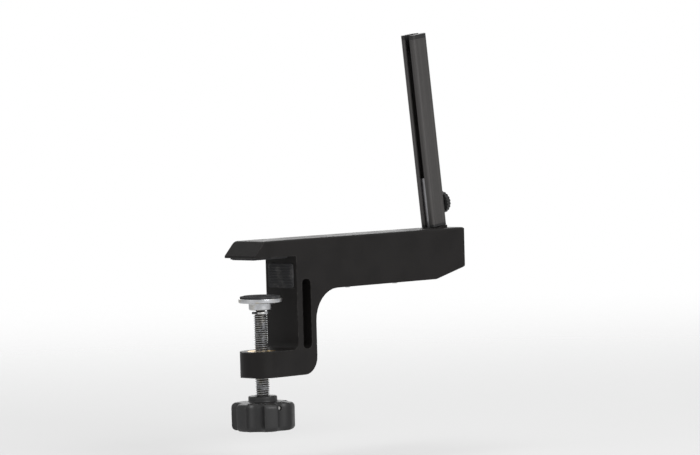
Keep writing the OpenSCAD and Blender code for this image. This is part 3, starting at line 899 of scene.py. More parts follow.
def row_tree() -> Tree:
    """Builds the tree that sets copies of a shape in a straight row.

    Returns:
        A tree with inputs Shape, Count, First, Step and Turn.
    """
    tree = Tree("row_of_copies", {"Shape": bpy.types.Object, "Count": int, "First": tuple,
                                  "Step": tuple, "Turn": tuple})
    graph = tree.graph
    line = graph.add("GeometryNodeMeshLine", {
        "Count": tree.input("Count"), "Start Location": tree.input("First"),
        "Offset": tree.input("Step")}, mode="OFFSET")
    shape = graph.add("GeometryNodeObjectInfo", {"Object": tree.input("Shape")}, output="Geometry")
    turn = graph.add("FunctionNodeEulerToRotation", {"Euler": tree.input("Turn")})
    copies = {"Points": line, "Instance": shape, "Rotation": turn}
    tree.end(graph.add("GeometryNodeInstanceOnPoints", copies))
    return tree


# ---------- the bench that the sub-assemblies share ----------


@dataclass
class Bench:
    """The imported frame, the finishes and the trees, with what fits a piece to the frame.

    Attributes:
        frame: The loaded frame: its nodes and joints.
        lock: Leaning frame of the post: origin on the lock screw's axis, x outboard, z up the post.
        finishes: The object's finishes.
        threads: Tree of the screw threads.
        flutes: Tree of the knobs' flutes.
        rows: Tree of ribs and screws in a row.
    """

    frame: dict
    lock: Matrix = field(init=False)
    finishes: Finishes = field(init=False)
    threads: Tree = field(init=False)
    flutes: Tree = field(init=False)
    rows: Tree = field(init=False)

    def __post_init__(self) -> None:
        """Works out the leaning frame and makes the finishes and the trees."""
        joints = {joint["name"]: joint for joint in self.frame["joints"]}
        up = Vector(joints["post_height"]["axis"]).normalized()
        out = Vector(joints["lock_travel"]["axis"]).normalized()
        turned = Matrix((out, up.cross(out), up)).transposed().to_4x4()
        self.lock = Matrix.Translation(joints["lock_turn"]["pos_m"]) @ turned
        self.finishes = Finishes(lean=math.asin(-up.x))
        self.threads = thread_tree()
        self.flutes = flute_tree()
        self.rows = row_tree()

    def leaning_box(self, node: str) -> tuple[Vector, Vector]:
        """Returns a node's lowest and highest corner in the post's leaning frame."""
        back = self.lock.inverted()
        points = [back @ vertex.co for vertex in self.frame["nodes"][node].data.vertices]
        return (Vector([min(p[i] for p in points) for i in range(3)]),
                Vector([max(p[i] for p in points) for i in range(3)]))

    def copied(self, node: str, name: str) -> bpy.types.Object:
        """Copies a CAD node as a clean mesh whose flat faces are whole.

        Args:
            node: The node's name.
            name: The copy's name.

        Returns:
            The copy.
        """
        shape = bmesh.new()
        shape.from_mesh(self.frame["nodes"][node].data)
        bmesh.ops.remove_doubles(shape, verts=shape.verts, dist=MERGE)
        bmesh.ops.dissolve_limit(shape, angle_limit=math.radians(0.6), verts=shape.verts, edges=shape.edges)
        copy = freed(name, shape)
        mesh = copy.data
        for extra in ("custom_normal", "sharp_face", "sharp_edge"):
            if extra in mesh.attributes:
                mesh.attributes.remove(mesh.attributes[extra])
        mesh.materials.clear()
        return copy

    def softened(self, node: str, name: str, width: float) -> bpy.types.Object:
        """Copies a CAD node with its sharp edges rounded to a width in metres."""
        return shaded(bevelled(self.copied(node, name), width), 50.0)

    def moulded(self, node: str, name: str, voxel: float) -> bpy.types.Object:
        """Copies a small CAD node of the post as one soft-edged moulding.

        Args:
            node: The node's name.
            name: The copy's name.
            voxel: Size of the voxels that skin it, in the post's leaning frame.

        Returns:
            The copy.
        """
        upright = moved(self.copied(node, name), self.lock.inverted())
        return moved(skinned(upright, voxel), self.lock)

    def fit(self, piece: bpy.types.Object, body: Body, finish: Finish, *nodes: str) -> None:
        """Dresses a finished piece and puts it on its body.

        Args:
            piece: The piece, with its place in its mesh.
            body: The body that it moves with.
            finish: What its surface is.
            nodes: The CAD nodes that it stands for.
        """
        piece.data.materials.clear()
        piece.data.materials.append(finish.material())
        piece.data.polygons.foreach_set("material_index", [0] * len(piece.data.polygons))
        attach(piece, body.value)
        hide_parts(*nodes)
        LOG.info("%s: %d faces, on %s", piece.name, len(piece.data.polygons), body.value)


# ---------- sub-assemblies ----------


@dataclass
class Assembly:
    """Pieces that are built and dressed together.

    Attributes:
        bench: The bench that they are made on.
    """

    bench: Bench

    def build(self) -> None:
        """Builds every piece and fits it to its body."""
        raise NotImplementedError


@dataclass(frozen=True)
class Thread:
    """A right-handed screw thread.

    Attributes:
        pitch: Its pitch.
        depth: Its depth.
        chamfer: How far both ends are chamfered.
        columns: Faces in one turn.
    """

    pitch: float
    depth: float
    chamfer: float
    columns: int

    def wind(self, bench: Bench, finish: Finish, radius: float, low: float, high: float) -> bpy.types.Object:
        """Winds the thread about +Z.

        Args:
            bench: The bench that holds the tree of threads.
            finish: What its surface is.
            radius: Radius of its crests.
            low: Height of its lower end.
            high: Height of its upper end.

        Returns:
            The thread on its core, as a closed solid.
        """
        thread = bench.threads.grow("thread", finish, {
            "Length": high - low, "Radius": radius, "Pitch": self.pitch, "Depth": self.depth,
            "Chamfer": self.chamfer, "Columns": self.columns})
        return shaded(moved(thread, shifted(z=low)), 20)


@dataclass
class SmallScrew:
    """Pan-headed cross-recess screw, head down from z = 0 and shank up.

    Attributes:
        head: Radius of the head.
        rise: Height of the head.
        shank: Radius of the shank.
        length: Length of the shank.
        rooted: How far the shank reaches into the head.
        thread: Its thread.
    """

    head: float
    rise: float
    shank: float = 1.5 * MM
    length: float = 10 * MM
    rooted: float = 0.4 * MM
    thread: Thread = Thread(pitch=0.5 * MM, depth=0.28 * MM, chamfer=0.5 * MM, columns=24)

    def build(self, bench: Bench) -> bpy.types.Object:
        """Builds the screw and returns it."""
        low, rim = -self.rise, -0.35 * self.rise
        head = lathe("screw_head", rounded([
            (0, low, 0), (self.head * 0.62, low, 1.1 * MM), (self.head, rim, 0.45 * MM),
            (self.head, 0, 0.12 * MM), (0, 0, 0)]), 48)
        for turn in (0.0, QUARTER):
            cut(head, moved(self.blade(), Matrix.Rotation(turn, 4, "Z")))
        shank = self.thread.wind(bench, bench.finishes.zinc, self.shank, -self.rooted, self.length)
        return shaded(joined("small_screw", [shaded(head, 40), shank]), 40)

    def blade(self) -> bpy.types.Object:
        """Returns one tapered wing of the cross recess."""
        shape = bmesh.new()
        bmesh.ops.create_cube(shape, size=1.0)
        for vertex in shape.verts:
            x, y, z = vertex.co
            length, width, height = (0.28, 0.07, -0.25) if z > 0 else (0.60, 0.13, -1.3)
            vertex.co = (math.copysign(self.head * length, x), math.copysign(self.head * width, y),
                         self.rise * height)
        return from_bmesh("recess", shape)


@dataclass
class ClampCasting(Assembly):
    """The C-shaped casting with its cover, pads, bush, tongue and cleat.

    Attributes:
        edge: Rounding of the casting's edges.
        rib_step: Distance between the ribs of a pad.
        rib_radius: Half the width of a rib.
        rib_rise: How far a rib stands out of its pad.
        bush_bore: Radius of the bush's bore.
        bush_flange: Thickness of the bush's flange.
        bush_radius: Radius of the bush's barrel.
        cleat_base: Height of the cleat's base.
        cleat_base_t: Thickness of that base.
        cleat_horn_t: Thickness of the cleat's horns.
        cleat_hole: Radius of the holes in the cleat's base.
        cleat_hole_y: Distance from the cleat's middle to those holes.
    """

    edge: float = 0.55 * MM
    rib_step: float = 2.0 * MM
    rib_radius: float = 0.62 * MM
    rib_rise: float = 0.5 * MM
    bush_bore: float = 5.0 * MM + FIT
    bush_flange: float = 2.0 * MM
    bush_radius: float = 8.0 * MM
    cleat_base: float = 10.0 * MM
    cleat_base_t: float = 2.5 * MM
    cleat_horn_t: float = 3.0 * MM
    cleat_hole: float = 1.7 * MM
    cleat_hole_y: float = 6.0 * MM

    def build(self) -> None:
        """Builds every piece that is fast to the casting."""
        bench, finishes = self.bench, self.bench.finishes
        for node, name, width, finish in (
                ("clamp_frame", "frame_casting", self.edge, finishes.coat),
                ("arm_cover", "underside_cover", 0.35 * MM, finishes.plastic),
                ("post_tongue", "guide_tongue", 0.4 * MM, finishes.bar),
                ("tongue_screw", "socket_screw", 0.2 * MM, finishes.black_steel)):
            bench.fit(bench.softened(node, name, width), Body.CLAMP, finish, node)
        bench.fit(self.jaw_pad(), Body.CLAMP, finishes.rubber, "top_jaw_pad")
        bench.fit(self.bumper(), Body.CLAMP, finishes.rubber, "edge_bumper")
        bench.fit(self.bush(), Body.CLAMP, finishes.brass, "thread_insert")
        bench.fit(self.cleat(), Body.CLAMP, finishes.plastic, "cord_cleat")
        bench.fit(self.cover_screws(), Body.CLAMP, finishes.zinc, "cover_screws")
        bench.fit(self.cleat_screws(), Body.CLAMP, finishes.zinc, "cleat_screws")

    def ribbed(self, name: str, length: float, width: float, thickness: float) -> bpy.types.Object:
        """Builds a ribbed pad face down: its ribs' crests lie on z = 0 and run along y.

        Args:
            name: The pad's name.
            length: Size along x.
            width: Size along y.
            thickness: Size along z, with the ribs.

        Returns:
            The pad, centred in x and y.
        """
        corner, border, margin = 2 * MM, 1.1 * MM, 1.5 * MM
        slab = prism(name, outline_box(-length / 2, -width / 2, length / 2, width / 2, corner),
                     self.rib_rise, thickness)
        slab = bevelled(slab, 0.3 * MM)
        half, tip = width / 2 - border, self.rib_radius * 0.95
        rib = lathe("rib", rounded([(0, -half, 0), (self.rib_radius, -half, tip),
                                    (self.rib_radius, half, tip), (0, half, 0)], 4), 20)
        moved(rib, quarter_turn("X"))
        count = int((length - 2 * margin) / self.rib_step) + 1
        first = -(count - 1) * self.rib_step / 2
        ribs = self.bench.rows.grow("ribs", self.bench.finishes.rubber, {
            "Shape": rib, "Count": count, "First": (first, 0.0, self.rib_radius),
            "Step": (self.rib_step, 0.0, 0.0), "Turn": (0.0, 0.0, 0.0)})
        bpy.data.objects.remove(rib)
        return shaded(joined(name, [slab, ribs]))

    def jaw_pad(self) -> bpy.types.Object:
        """Returns the upper jaw's pad, ribs down."""
        low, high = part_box("top_jaw_pad")
        size, middle = high - low, (low + high) / 2
        return moved(self.ribbed("upper_pad", *size), shifted(middle.x, middle.y, low.z))

    def bumper(self) -> bpy.types.Object:
        """Returns the bumper of the table's edge, ribs inboard."""
        low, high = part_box("edge_bumper")
        size, middle = high - low, (low + high) / 2
        pad = self.ribbed("table_bumper", size.z, size.y, size.x)
        return moved(pad, shifted(low.x, middle.y, middle.z) @ quarter_turn("Y"))

    def bush(self) -> bpy.types.Object:
        """Returns the flanged brass bush of the lower jaw."""
        low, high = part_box("thread_insert")
        lead = 0.7 * MM
        flange = high.z - self.bush_flange
        return shaded(lathe("jaw_bush", rounded([
            (self.bush_bore, low.z + lead, 0), (self.bush_bore + lead, low.z, 0),
            (self.bush_radius, low.z, 0.5 * MM), (self.bush_radius, flange, 0.1 * MM),
            (high.x, flange, 0.3 * MM), (high.x, high.z, 0.5 * MM),
            (self.bush_bore + lead, high.z, 0), (self.bush_bore, high.z - lead, 0)])))

    def cleat(self) -> bpy.types.Object:
        """Returns the moulded cord cleat: base, waisted stem and blunt horns."""
        low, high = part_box("cord_cleat")
        middle_z, base_t, horn_t = (low.z + high.z) / 2, self.cleat_base_t, self.cleat_horn_t
        horn_low = high.x - horn_t - low.x
        horn_middle = horn_low + horn_t / 2
        base = prism("base", outline_box(low.y, -self.cleat_base / 2, high.y, self.cleat_base / 2, 2.5 * MM),
                     0, base_t)
        root, waist, shoulder = 3.3 * MM, 2.4 * MM, 2.7 * MM
        stem = lathe("stem", [(0, base_t / 2), (root, base_t / 2), (root, base_t),
                              (2.5 * MM, base_t + 0.9 * MM), (waist, base_t + 2.0 * MM),
                              (shoulder, horn_low), (shoulder, horn_middle), (0, horn_middle)], 40)
        horns = self.horns((high.z - low.z) / 2, 2.8 * MM, horn_low, horn_t)
        body = joined("tension_cleat", [base, stem, horns])
        # Drawn lying on its back, with y and z as its x and y; it stands up at the arm's end.
        stand = Matrix(((0, 0, 1), (1, 0, 0), (0, 1, 0))).to_4x4()
        moved(body, shifted(low.x, 0, middle_z) @ stand)
        skinned(body, 0.22 * MM)
        for side in (-1, 1):
            hole = moved(rod("hole", self.cleat_hole, -5 * MM, 5 * MM), quarter_turn("Y"))
            cut(body, moved(hole, shifted(low.x, side * self.cleat_hole_y, middle_z)))
        return shaded(body, 60)

    def horns(self, half_length: float, half_width: float, low: float, thickness: float) -> bpy.types.Object:
        """Lofts the two horns across the stem.

        Args:
            half_length: Distance from the stem's axis to a tip.
            half_width: Half the width at the stem.
            low: Height of the horns' inner face above the base's back.
            thickness: Thickness at the stem.

        Returns:
            The closed loft, long in y, wide in x and thick in z.
        """
        shape = bmesh.new()
        stations, around = 28, 24
        rings = []
        for station in range(stations + 1):
            way = -math.cos(math.pi * station / stations)
            tip = math.sqrt(max(1 - abs(way) ** 5, 0.0))
            wide = half_width * tip * (1 - 0.18 * way * way)
            thick = thickness / 2 * tip * (1 - 0.35 * way * way)
            rings.append([shape.verts.new((wide * blunt(math.cos(a)), half_length * way,
                                           low + thickness - thick * (1 - blunt(math.sin(a)))))
                          for a in (2 * math.pi * step / around for step in range(around))])
        for near, far in zip(rings, rings[1:]):
            for step in range(around):
                after = (step + 1) % around
                shape.faces.new((near[step], near[after], far[after], far[step]))
        return from_bmesh("horns", shape)

    def cover_screws(self) -> bpy.types.Object:
        """Returns the cover's screws, heads down."""
        low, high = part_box("cover_screws")
        head = (high.y - low.y) / 2
        seat = high.z - SmallScrew.length
        first, last = low.x + head, high.x - head
        return self.screws("cover_fasteners", SmallScrew(head, seat - low.z),
                           (first, 0.0, seat), (last - first, 0.0, 0.0), 0.0)

    def cleat_screws(self) -> bpy.types.Object:
        """Returns the cleat's screws, heads outboard."""
        low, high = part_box("cleat_screws")
        head = (high.z - low.z) / 2
        seat = low.x + SmallScrew.length
        first, last = low.y + head, high.y - head
        return self.screws("cleat_fasteners", SmallScrew(head, high.x - seat),
                           (seat, first, (low.z + high.z) / 2), (0.0, last - first, 0.0), -QUARTER)

    def screws(self, name: str, screw: SmallScrew, first: Point3, step: Point3,
               turn: float) -> bpy.types.Object:
        """Builds two screws.

        Args:
            name: Name of the piece that they make.
            screw: Their sizes.
            first: Where the first one's head is seated.
            step: Way from the first to the second.
            turn: Angle by which they turn about Y.

        Returns:
            The screws as one piece.
        """
        shape = screw.build(self.bench)
        row = self.bench.rows.grow(name, self.bench.finishes.zinc, {
            "Shape": shape, "Count": 2, "First": first, "Step": step, "Turn": (0.0, turn, 0.0)})
        bpy.data.objects.remove(shape)
        return shaded(row, 40)


@dataclass
class Spindle(Assembly):
    """The clamp screw with its ring, knob, pin and cap.

    Attributes:
        thread: The screw's thread.
        neck: Radius of the screw's neck.
        snap: How far each side of the ring's mouth catches the neck.
        shoulder_gap: Gap between the ring and the thread's upper end.
        ball: Radius of the screw's ball.
        lobes: Number of the knob's lobes.
        flute: Radius of the flutes between them.
        flute_depth: Depth of the flutes.
        hub_rise: Height of the knob's hub above its lobes.
        hub: Radius of that hub.
        pin_down: Distance from the knob's shoulder down to the pin.
        knob_bore: Radius of the knob's bore.
        pin_bore: Radius of the pin's bore through the knob.
    """

    thread: Thread = Thread(pitch=1.5 * MM, depth=0.92 * MM, chamfer=1.0 * MM, columns=64)
    neck: float = 2.9 * MM
    snap: float = 0.3 * MM
    shoulder_gap: float = 0.3 * MM
    ball: float = 4.5 * MM
    lobes: int = 6
    flute: float = 7.0 * MM
    flute_depth: float = 5.5 * MM
    hub_rise: float = 4.0 * MM
    hub: float = 10.0 * MM
    pin_down: float = 4.0 * MM
    knob_bore: float = 5.0 * MM + FIT
    pin_bore: float = 1.62 * MM

    def build(self) -> None:
        """Builds every piece on the clamp screw."""
        bench, finishes = self.bench, self.bench.finishes
        bench.fit(self.ring(), Body.RING, finishes.zinc, "neck_ring")
        bench.fit(self.screw(), Body.SPINDLE, finishes.thread, "clamp_screw")
        bench.fit(self.knob(), Body.SPINDLE, finishes.plastic, "clamp_knob")
        bench.fit(self.pin(), Body.SPINDLE, finishes.zinc, "knob_pin")
        bench.fit(self.cap(), Body.SPINDLE, finishes.plastic, "knob_cap")

    def ring(self) -> bpy.types.Object:
        """Returns the retaining ring on the neck, with its mouth inboard."""
        low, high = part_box("neck_ring")
        bore, half_mouth = self.neck + FIT, self.neck - self.snap
        ring = lathe("retaining_ring", rounded([
            (bore, low.z, 0.2 * MM), (high.x, low.z, 0.4 * MM), (high.x, high.z, 0.4 * MM),
            (bore, high.z, 0.2 * MM)], 4))
        mouth = prism("mouth", outline_box(-2 * high.x, -half_mouth, 0, half_mouth), low.z - MM, high.z + MM)
        return shaded(cut(ring, mouth))

    def screw(self) -> bpy.types.Object:
        """Returns the screw: ball, neck and a cut thread."""
        low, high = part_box("clamp_screw")
        ball_z = high.z - self.ball
        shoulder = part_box("neck_ring")[0].z - self.shoulder_gap
        stub_low = shoulder - 1.0 * MM
        thread = self.thread.wind(self.bench, self.bench.finishes.thread, high.x, low.z, shoulder)
        dip = math.asin(self.neck / self.ball)
        rise = [math.pi - dip - (math.pi - dip) * step / 24 for step in range(25)]
        dome = [(self.ball * math.sin(a), ball_z + self.ball * math.cos(a)) for a in rise]
        stub = lathe("ball", [(0, stub_low), (self.neck, stub_low), *dome[:-1], (0, high.z)], 64)
        return joined("lead_screw", [thread, shaded(stub)])

    def knob(self) -> bpy.types.Object:
        """Returns the star knob, pressed from a turned blank and bored for its pin."""
        low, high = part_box("clamp_knob")
        radius, crown, drop, round_over = high.x, high.x * 0.72, 0.8 * MM, 3.2 * MM
        shoulder, bore_end = high.z - self.hub_rise, high.z - 3 * MM
        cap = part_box("knob_cap")[1]
        recess = cap.x + 2 * FIT
        sides = [(0, cap.z, 0), (recess, cap.z, 0), (recess, low.z, 0.3 * MM),
                 (crown, low.z, 6 * MM), (radius, low.z + drop, round_over),
                 (radius, shoulder - drop, round_over), (crown, shoulder, 6 * MM),
                 (self.hub, shoulder, 1.0 * MM), (self.hub, high.z, 1.0 * MM),
                 (self.knob_bore, high.z, 0.3 * MM), (self.knob_bore, bore_end, 0), (0, bore_end, 0)]
        blank = lathe("knob_blank", divided(rounded(sides), 1.6 * MM), 288)
        pressed = self.bench.flutes.grow("star_knob", self.bench.finishes.plastic, {
            "Count": self.lobes, "First Angle": QUARTER, "Outer Radius": radius,
            "Inner Radius": self.hub + 0.6 * MM, "Centre": radius - self.flute_depth + self.flute,
            "Flute Radius": self.flute, "Softness": 3.5 * MM}, blank)
        bore = moved(rod("pin_bore", self.pin_bore, -30 * MM, 30 * MM, 48), quarter_turn("X"))
        cut(pressed, moved(bore, shifted(z=shoulder - self.pin_down)))
        return shaded(pressed, 38)

    def pin(self) -> bpy.types.Object:
        """Returns the cross pin with domed ends."""
        low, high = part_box("knob_pin")
        radius, half = (high.z - low.z) / 2, (high.y - low.y) / 2
        pin = lathe("cross_pin", rounded([(0, -half, 0), (radius, -half, radius * 0.6),
                                          (radius, half, radius * 0.6), (0, half, 0)]), 40)
        return shaded(moved(pin, shifted(z=(low.z + high.z) / 2) @ quarter_turn("X")))

    def cap(self) -> bpy.types.Object:
        """Returns the knob's end cap, dished inside a raised rim."""
        low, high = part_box("knob_cap")
        dish, rim = 0.55 * MM, high.x - 2.2 * MM
        return shaded(lathe("end_cap", rounded([
            (0, low.z + dish, 0), (rim - 1.2 * MM, low.z + dish, 1.2 * MM), (rim, low.z, 0.6 * MM),
            (high.x, low.z, 0.6 * MM), (high.x, high.z, 0), (0, high.z, 0)])))


@dataclass
class SwivelPlate(Assembly):
    """The pressure plate that tilts on the screw's ball, and its pad.

    Attributes:
        socket: Radius of the ball's socket.
        disc: Thickness of the plate's disc.
        hub: Radius of the plate's hub.
        ridge_step: Distance between the pad's ridges.
        ridge_rise: Height of those ridges.
        ridge_half: Half their width.
    """

    socket: float = Spindle.ball + FIT
    disc: float = 3.0 * MM
    hub: float = 8.0 * MM
    ridge_step: float = 1.9 * MM
    ridge_rise: float = 0.45 * MM
    ridge_half: float = 0.62 * MM

    def build(self) -> None:
        """Builds the plate and its pad."""
        bench = self.bench
        bench.fit(self.plate(), Body.PLATE, bench.finishes.zinc, "pressure_plate")
        bench.fit(self.pad(), Body.PLATE, bench.finishes.rubber, "plate_pad")

    def plate(self) -> bpy.types.Object:
        """Returns the turned plate with the ball's socket."""
        low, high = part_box("pressure_plate")
        ball_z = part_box("clamp_screw")[1].z - Spindle.ball
        down = ball_z - low.z
        mouth = math.acos(down / self.socket)
        arc = [math.pi * (1 - step / 24) for step in range(25)]
        bowl = [(self.socket * math.sin(a), ball_z + self.socket * math.cos(a)) for a in arc
                if math.pi - a >= mouth]
        edge = (self.socket * math.sin(mouth), low.z)
        disc_z = high.z - self.disc
        outside = rounded([(0, high.z, 0), (high.x, high.z, 0.5 * MM), (high.x, disc_z, 1.0 * MM),
                           (self.hub, disc_z, 1.2 * MM), (self.hub, low.z, 1.0 * MM),
                           (edge[0] + 0.4 * MM, low.z, 0)])
        return shaded(lathe("swivel_disc", [*outside, edge, *bowl[:-1], (0, ball_z + self.socket)]))

    def pad(self) -> bpy.types.Object:
        """Returns the rubber pad with round ridges on its face."""
        low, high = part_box("plate_pad")
        base, margin = high.z - self.ridge_rise, 1.4 * MM
        face: list[Point2] = []
        count = int((high.x - margin) / self.ridge_step)
        for index in range(count, 0, -1):
            middle = index * self.ridge_step
            for turn in (math.pi * step / 8 for step in range(9)):
                face.append((middle + self.ridge_half * math.cos(turn),
                             base + self.ridge_rise * math.sin(turn)))
        side = [(0, low.z), (high.x - 0.3 * MM, low.z), (high.x, low.z + 0.3 * MM),
                (high.x, base - 0.4 * MM), (high.x - 0.12 * MM, base - 0.12 * MM), (high.x - 0.4 * MM, base)]
        return shaded(lathe("swivel_pad", [*side, *face, (0.5 * MM, base), (0, base)]))


@dataclass
class NetPost(Assembly):
    """The leaning post: extrusion, moulded foot and cap, and the nut inside."""

    def build(self) -> None:
        """Builds every piece that rises with the post."""
        bench, finishes = self.bench, self.bench.finishes
        bench.fit(bench.softened("post", "post_channel", 0.2 * MM), Body.POST, finishes.anodised, "post")
        for node, name, voxel in (("post_foot", "foot_shoe", 0.16 * MM), ("post_cap", "top_cap", 0.20 * MM)):
            bench.fit(bench.moulded(node, name, voxel), Body.POST, finishes.plastic, node)
        bench.fit(bench.softened("lock_nut", "square_nut", 0.3 * MM), Body.POST, finishes.zinc, "lock_nut")


@dataclass
class LockScrew(Assembly):
    """The thumb screw that locks the post, with its shoe.

    Attributes:
        thread: The screw's thread.
        tip: Radius of its plain tip.
        grooves: Number of grooves round its knob.
        groove: Radius of those grooves.
        groove_out: Distance from the knob's rim out to their centres.
    """

    thread: Thread = Thread(pitch=0.8 * MM, depth=0.49 * MM, chamfer=0.6 * MM, columns=48)
    tip: float = 1.5 * MM
    grooves: int = 20
    groove: float = 0.8 * MM
    groove_out: float = 0.35 * MM

    def build(self) -> None:
        """Builds the shoe, the screw and its knob."""
        bench, finishes = self.bench, self.bench.finishes
        bench.fit(self.shoe(), Body.SHOE, finishes.brass, "lock_shoe")
        bench.fit(self.screw(), Body.THUMBSCREW, finishes.zinc, "lock_screw")
        bench.fit(self.knob(), Body.THUMBSCREW, finishes.plastic, "lock_knob")

    def laid(self, piece: bpy.types.Object) -> bpy.types.Object:
        """Lays a piece that was built up +Z along the lock screw's axis."""
        return moved(piece, self.bench.lock @ quarter_turn("Y"))

    def shoe(self) -> bpy.types.Object:
        """Returns the brass shoe with its dimple for the tip."""
        low, high = self.bench.leaning_box("lock_shoe")
        dimple, depth = self.tip + FIT, 0.85 * MM
        return self.laid(shaded(lathe("brass_shoe", rounded([
            (0, low.x, 0), (high.y, low.x, 0.25 * MM), (high.y, high.x, 0.25 * MM), (dimple, high.x, 0),
            (dimple, high.x - depth, 0), (0, high.x - depth, 0)], 4), 64)))

    def screw(self) -> bpy.types.Object:
        """Returns the threaded screw and its plain tip."""
        low, high = self.bench.leaning_box("lock_screw")
        tip_end, inside = low.x + 1.0 * MM, low.x + 2.0 * MM
        thread = self.thread.wind(self.bench, self.bench.finishes.zinc, high.y, tip_end, high.x)
        tip = lathe("tip", rounded([(0, low.x, 0), (self.tip, low.x, 0.3 * MM), (self.tip, inside, 0),
                                    (0, inside, 0)], 4), 32)
        return self.laid(joined("lock_thread", [thread, shaded(tip)]))

    def knob(self) -> bpy.types.Object:
        """Returns the grooved knob with its dished face."""
        low, high = self.bench.leaning_box("lock_knob")
        radius, near, far = high.y, low.x, high.x
        dish = far - 0.5 * MM
        sides = [(0, near, 0), (radius - 2.2 * MM, near, 0.6 * MM), (radius, near + 0.5 * MM, 0.5 * MM),
                 (radius, far - 0.7 * MM, 0.9 * MM), (radius - 2.0 * MM, far, 1.0 * MM),
                 (radius * 0.60, far, 0.5 * MM), (radius * 0.50, dish, 0.6 * MM), (0, dish, 0)]
        blank = lathe("lock_blank", divided(rounded(sides), 0.5 * MM), 240)
        knob = self.bench.flutes.grow("lock_wheel", self.bench.finishes.plastic, {
            "Count": self.grooves, "First Angle": 0.0, "Outer Radius": radius,
            "Inner Radius": radius - 2.6 * MM, "Centre": radius + self.groove_out,
            "Flute Radius": self.groove, "Softness": 0.12 * MM}, blank)
        return self.laid(shaded(knob))


# ---------- studio ----------


@dataclass(frozen=True)
class SoftBox:
    """A square soft light that faces the object.

    Attributes:
        name: The lamp's name.
        place: Where it hangs.
        side: Length of its sides in metres.
        power: Its power in watts.
    """

    name: str
    place: Point3
    side: float
    power: float

    def hang(self, aim: Vector) -> None:
        """Hangs the lamp so that it faces a point."""
        light = bpy.data.lights.new(self.name, "AREA")
        light.size = self.side
        light.energy = self.power
        lamp = bpy.data.objects.new(self.name, light)
        bpy.context.scene.collection.objects.link(lamp)
        lamp.location = self.place
        lamp.rotation_euler = (aim - Vector(self.place)).to_track_quat("-Z", "Y").to_euler()


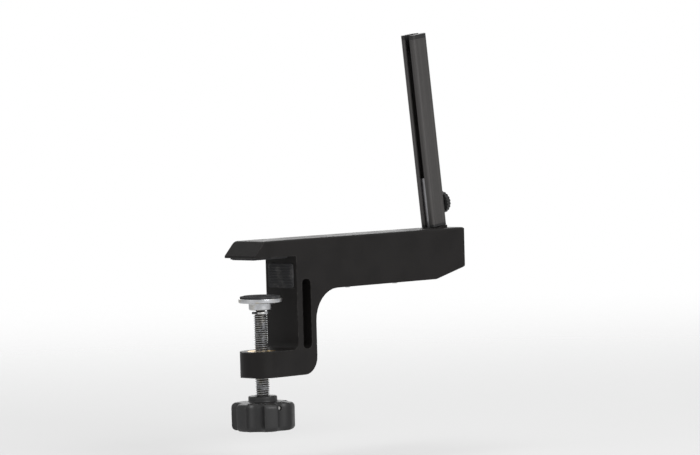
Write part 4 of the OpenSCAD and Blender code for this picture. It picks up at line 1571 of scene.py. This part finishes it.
@dataclass
class Studio:
    """Pale floor, plain soft light and the camera.

    Attributes:
        eye: Where the camera stands.
        aim: What it looks at.
        lens: Its focal length in millimetres.
        roll: Angle in degrees by which the camera leans over to the right.
        pale: Colour of the floor.
        washed: How far the floor close to the object fades into the background.
        fade: Distances from the object over which the rest of it fades.
        reach: Radius of the floor.
        clearance: Room under the knob at its lowest.
        sheen: Strength of the white that mirrors see.
        haze: Strength of the light from all round.
        lamps: The soft lights.
    """

    eye: Point3 = (-1.958, -1.950, 0.137)
    aim: Point3 = (0.092, 0.0, 0.0175)
    lens: float = 206.0
    roll: float = 1.5
    pale: Colour = (0.82, 0.82, 0.82)
    washed: float = 0.35
    fade: Point2 = (0.30, 2.0)
    reach: float = 6.0
    clearance: float = 1.5 * MM
    sheen: float = 0.5
    haze: float = 0.25
    lamps: tuple[SoftBox, ...] = (
        SoftBox("key", (-0.25, -1.95, 0.95), 1.1, 27.0), SoftBox("fill", (-1.95, 0.25, 0.65), 1.2, 4.5),
        SoftBox("top", (0.1, 0.1, 1.9), 1.4, 14.0), SoftBox("back", (1.2, 1.5, 0.9), 1.2, 10.0))

    def build(self, frame: dict) -> None:
        """Sets up camera, lamps, world and floor.

        Args:
            frame: The loaded frame, whose screw says how low the floor lies.
        """
        travel = next(joint for joint in frame["joints"] if joint["name"] == "screw_travel")
        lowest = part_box("clamp_knob")[0].z + travel["range_m"][0]
        self.camera()
        self.world()
        self.floor(lowest - self.clearance)
        for lamp in self.lamps:
            lamp.hang(Vector(self.aim))
        LOG.info("studio: floor at %.1f mm", (lowest - self.clearance) / MM)

    def camera(self) -> None:
        """Makes the scene's camera."""
        lens = bpy.data.cameras.new("camera")
        lens.sensor_width = 36.0
        lens.lens = self.lens
        camera = bpy.data.objects.new("camera", lens)
        bpy.context.scene.collection.objects.link(camera)
        camera.location = self.eye
        ahead = (Vector(self.aim) - Vector(self.eye)).to_track_quat("-Z", "Y")
        camera.rotation_euler = (ahead @ Quaternion((0, 0, 1), math.radians(-self.roll))).to_euler()
        bpy.context.scene.camera = camera

    def world(self) -> None:
        """Lights the scene softly, and shows white to the eye and to mirrors."""
        world = bpy.data.worlds.new("studio")
        bpy.context.scene.world = world
        world.use_nodes = True
        graph = Graph(world.node_tree)
        path = graph.node("ShaderNodeLightPath")
        seen = Wire(graph, path.outputs["Is Camera Ray"]).at_least(
            Wire(graph, path.outputs["Is Transmission Ray"]))
        mirrored = Wire(graph, path.outputs["Is Glossy Ray"]) * self.sheen
        strength = seen.at_least(mirrored).at_least(self.haze)
        graph.feed(world.node_tree.nodes["Background"],
                   {"Color": (1.0, 1.0, 1.0, 1.0), "Strength": strength})

    def floor(self, height: float) -> None:
        """Lays a round floor that fades out to the background and is clear from below.

        Args:
            height: Height of the floor.
        """
        sides = 96
        turns = [2 * math.pi * step / sides for step in range(sides)]
        mesh = bpy.data.meshes.new("studio_floor")
        mesh.from_pydata([(self.reach * math.cos(a), self.reach * math.sin(a), height) for a in turns], [],
                         [list(range(sides))])
        disc = linked("studio_floor", mesh)
        material = bpy.data.materials.new("studio_floor")
        material.use_nodes = True
        tree = material.node_tree
        graph = Graph(tree)
        shader = tree.nodes["Principled BSDF"]
        graph.feed(shader, {"Base Color": (*self.pale, 1.0), "Roughness": 0.9, "Specular IOR Level": 0.1})
        x, y, _ = graph.split(graph.add("ShaderNodeTexCoord", output="Object"))
        away = graph.distance(x, y)
        seen = graph.add("ShaderNodeLightPath", output="Is Camera Ray")
        under = graph.add("ShaderNodeNewGeometry", output="Backfacing")
        gone = (graph.ease(away, *self.fade, (self.washed, 1.0)) * seen).at_least(under)
        clear = graph.add("ShaderNodeBsdfTransparent")
        mixed = graph.node("ShaderNodeMixShader", {0: gone, 2: clear})
        tree.links.new(shader.outputs[0], mixed.inputs[1])
        tree.links.new(mixed.outputs[0], tree.nodes["Material Output"].inputs["Surface"])
        disc.data.materials.append(material)


def main() -> None:
    """Builds the object round its frame, then the studio."""
    logging.basicConfig(level=logging.INFO, format="%(name)s: %(message)s")
    for leftover in list(bpy.data.objects):
        bpy.data.objects.remove(leftover)
    bpy.context.scene.view_settings.view_transform = "Standard"
    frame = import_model()
    bench = Bench(frame)
    for assembly in (ClampCasting, Spindle, SwivelPlate, NetPost, LockScrew):
        assembly(bench).build()
    Studio().build(frame)


if __name__ == "__main__":
    main()
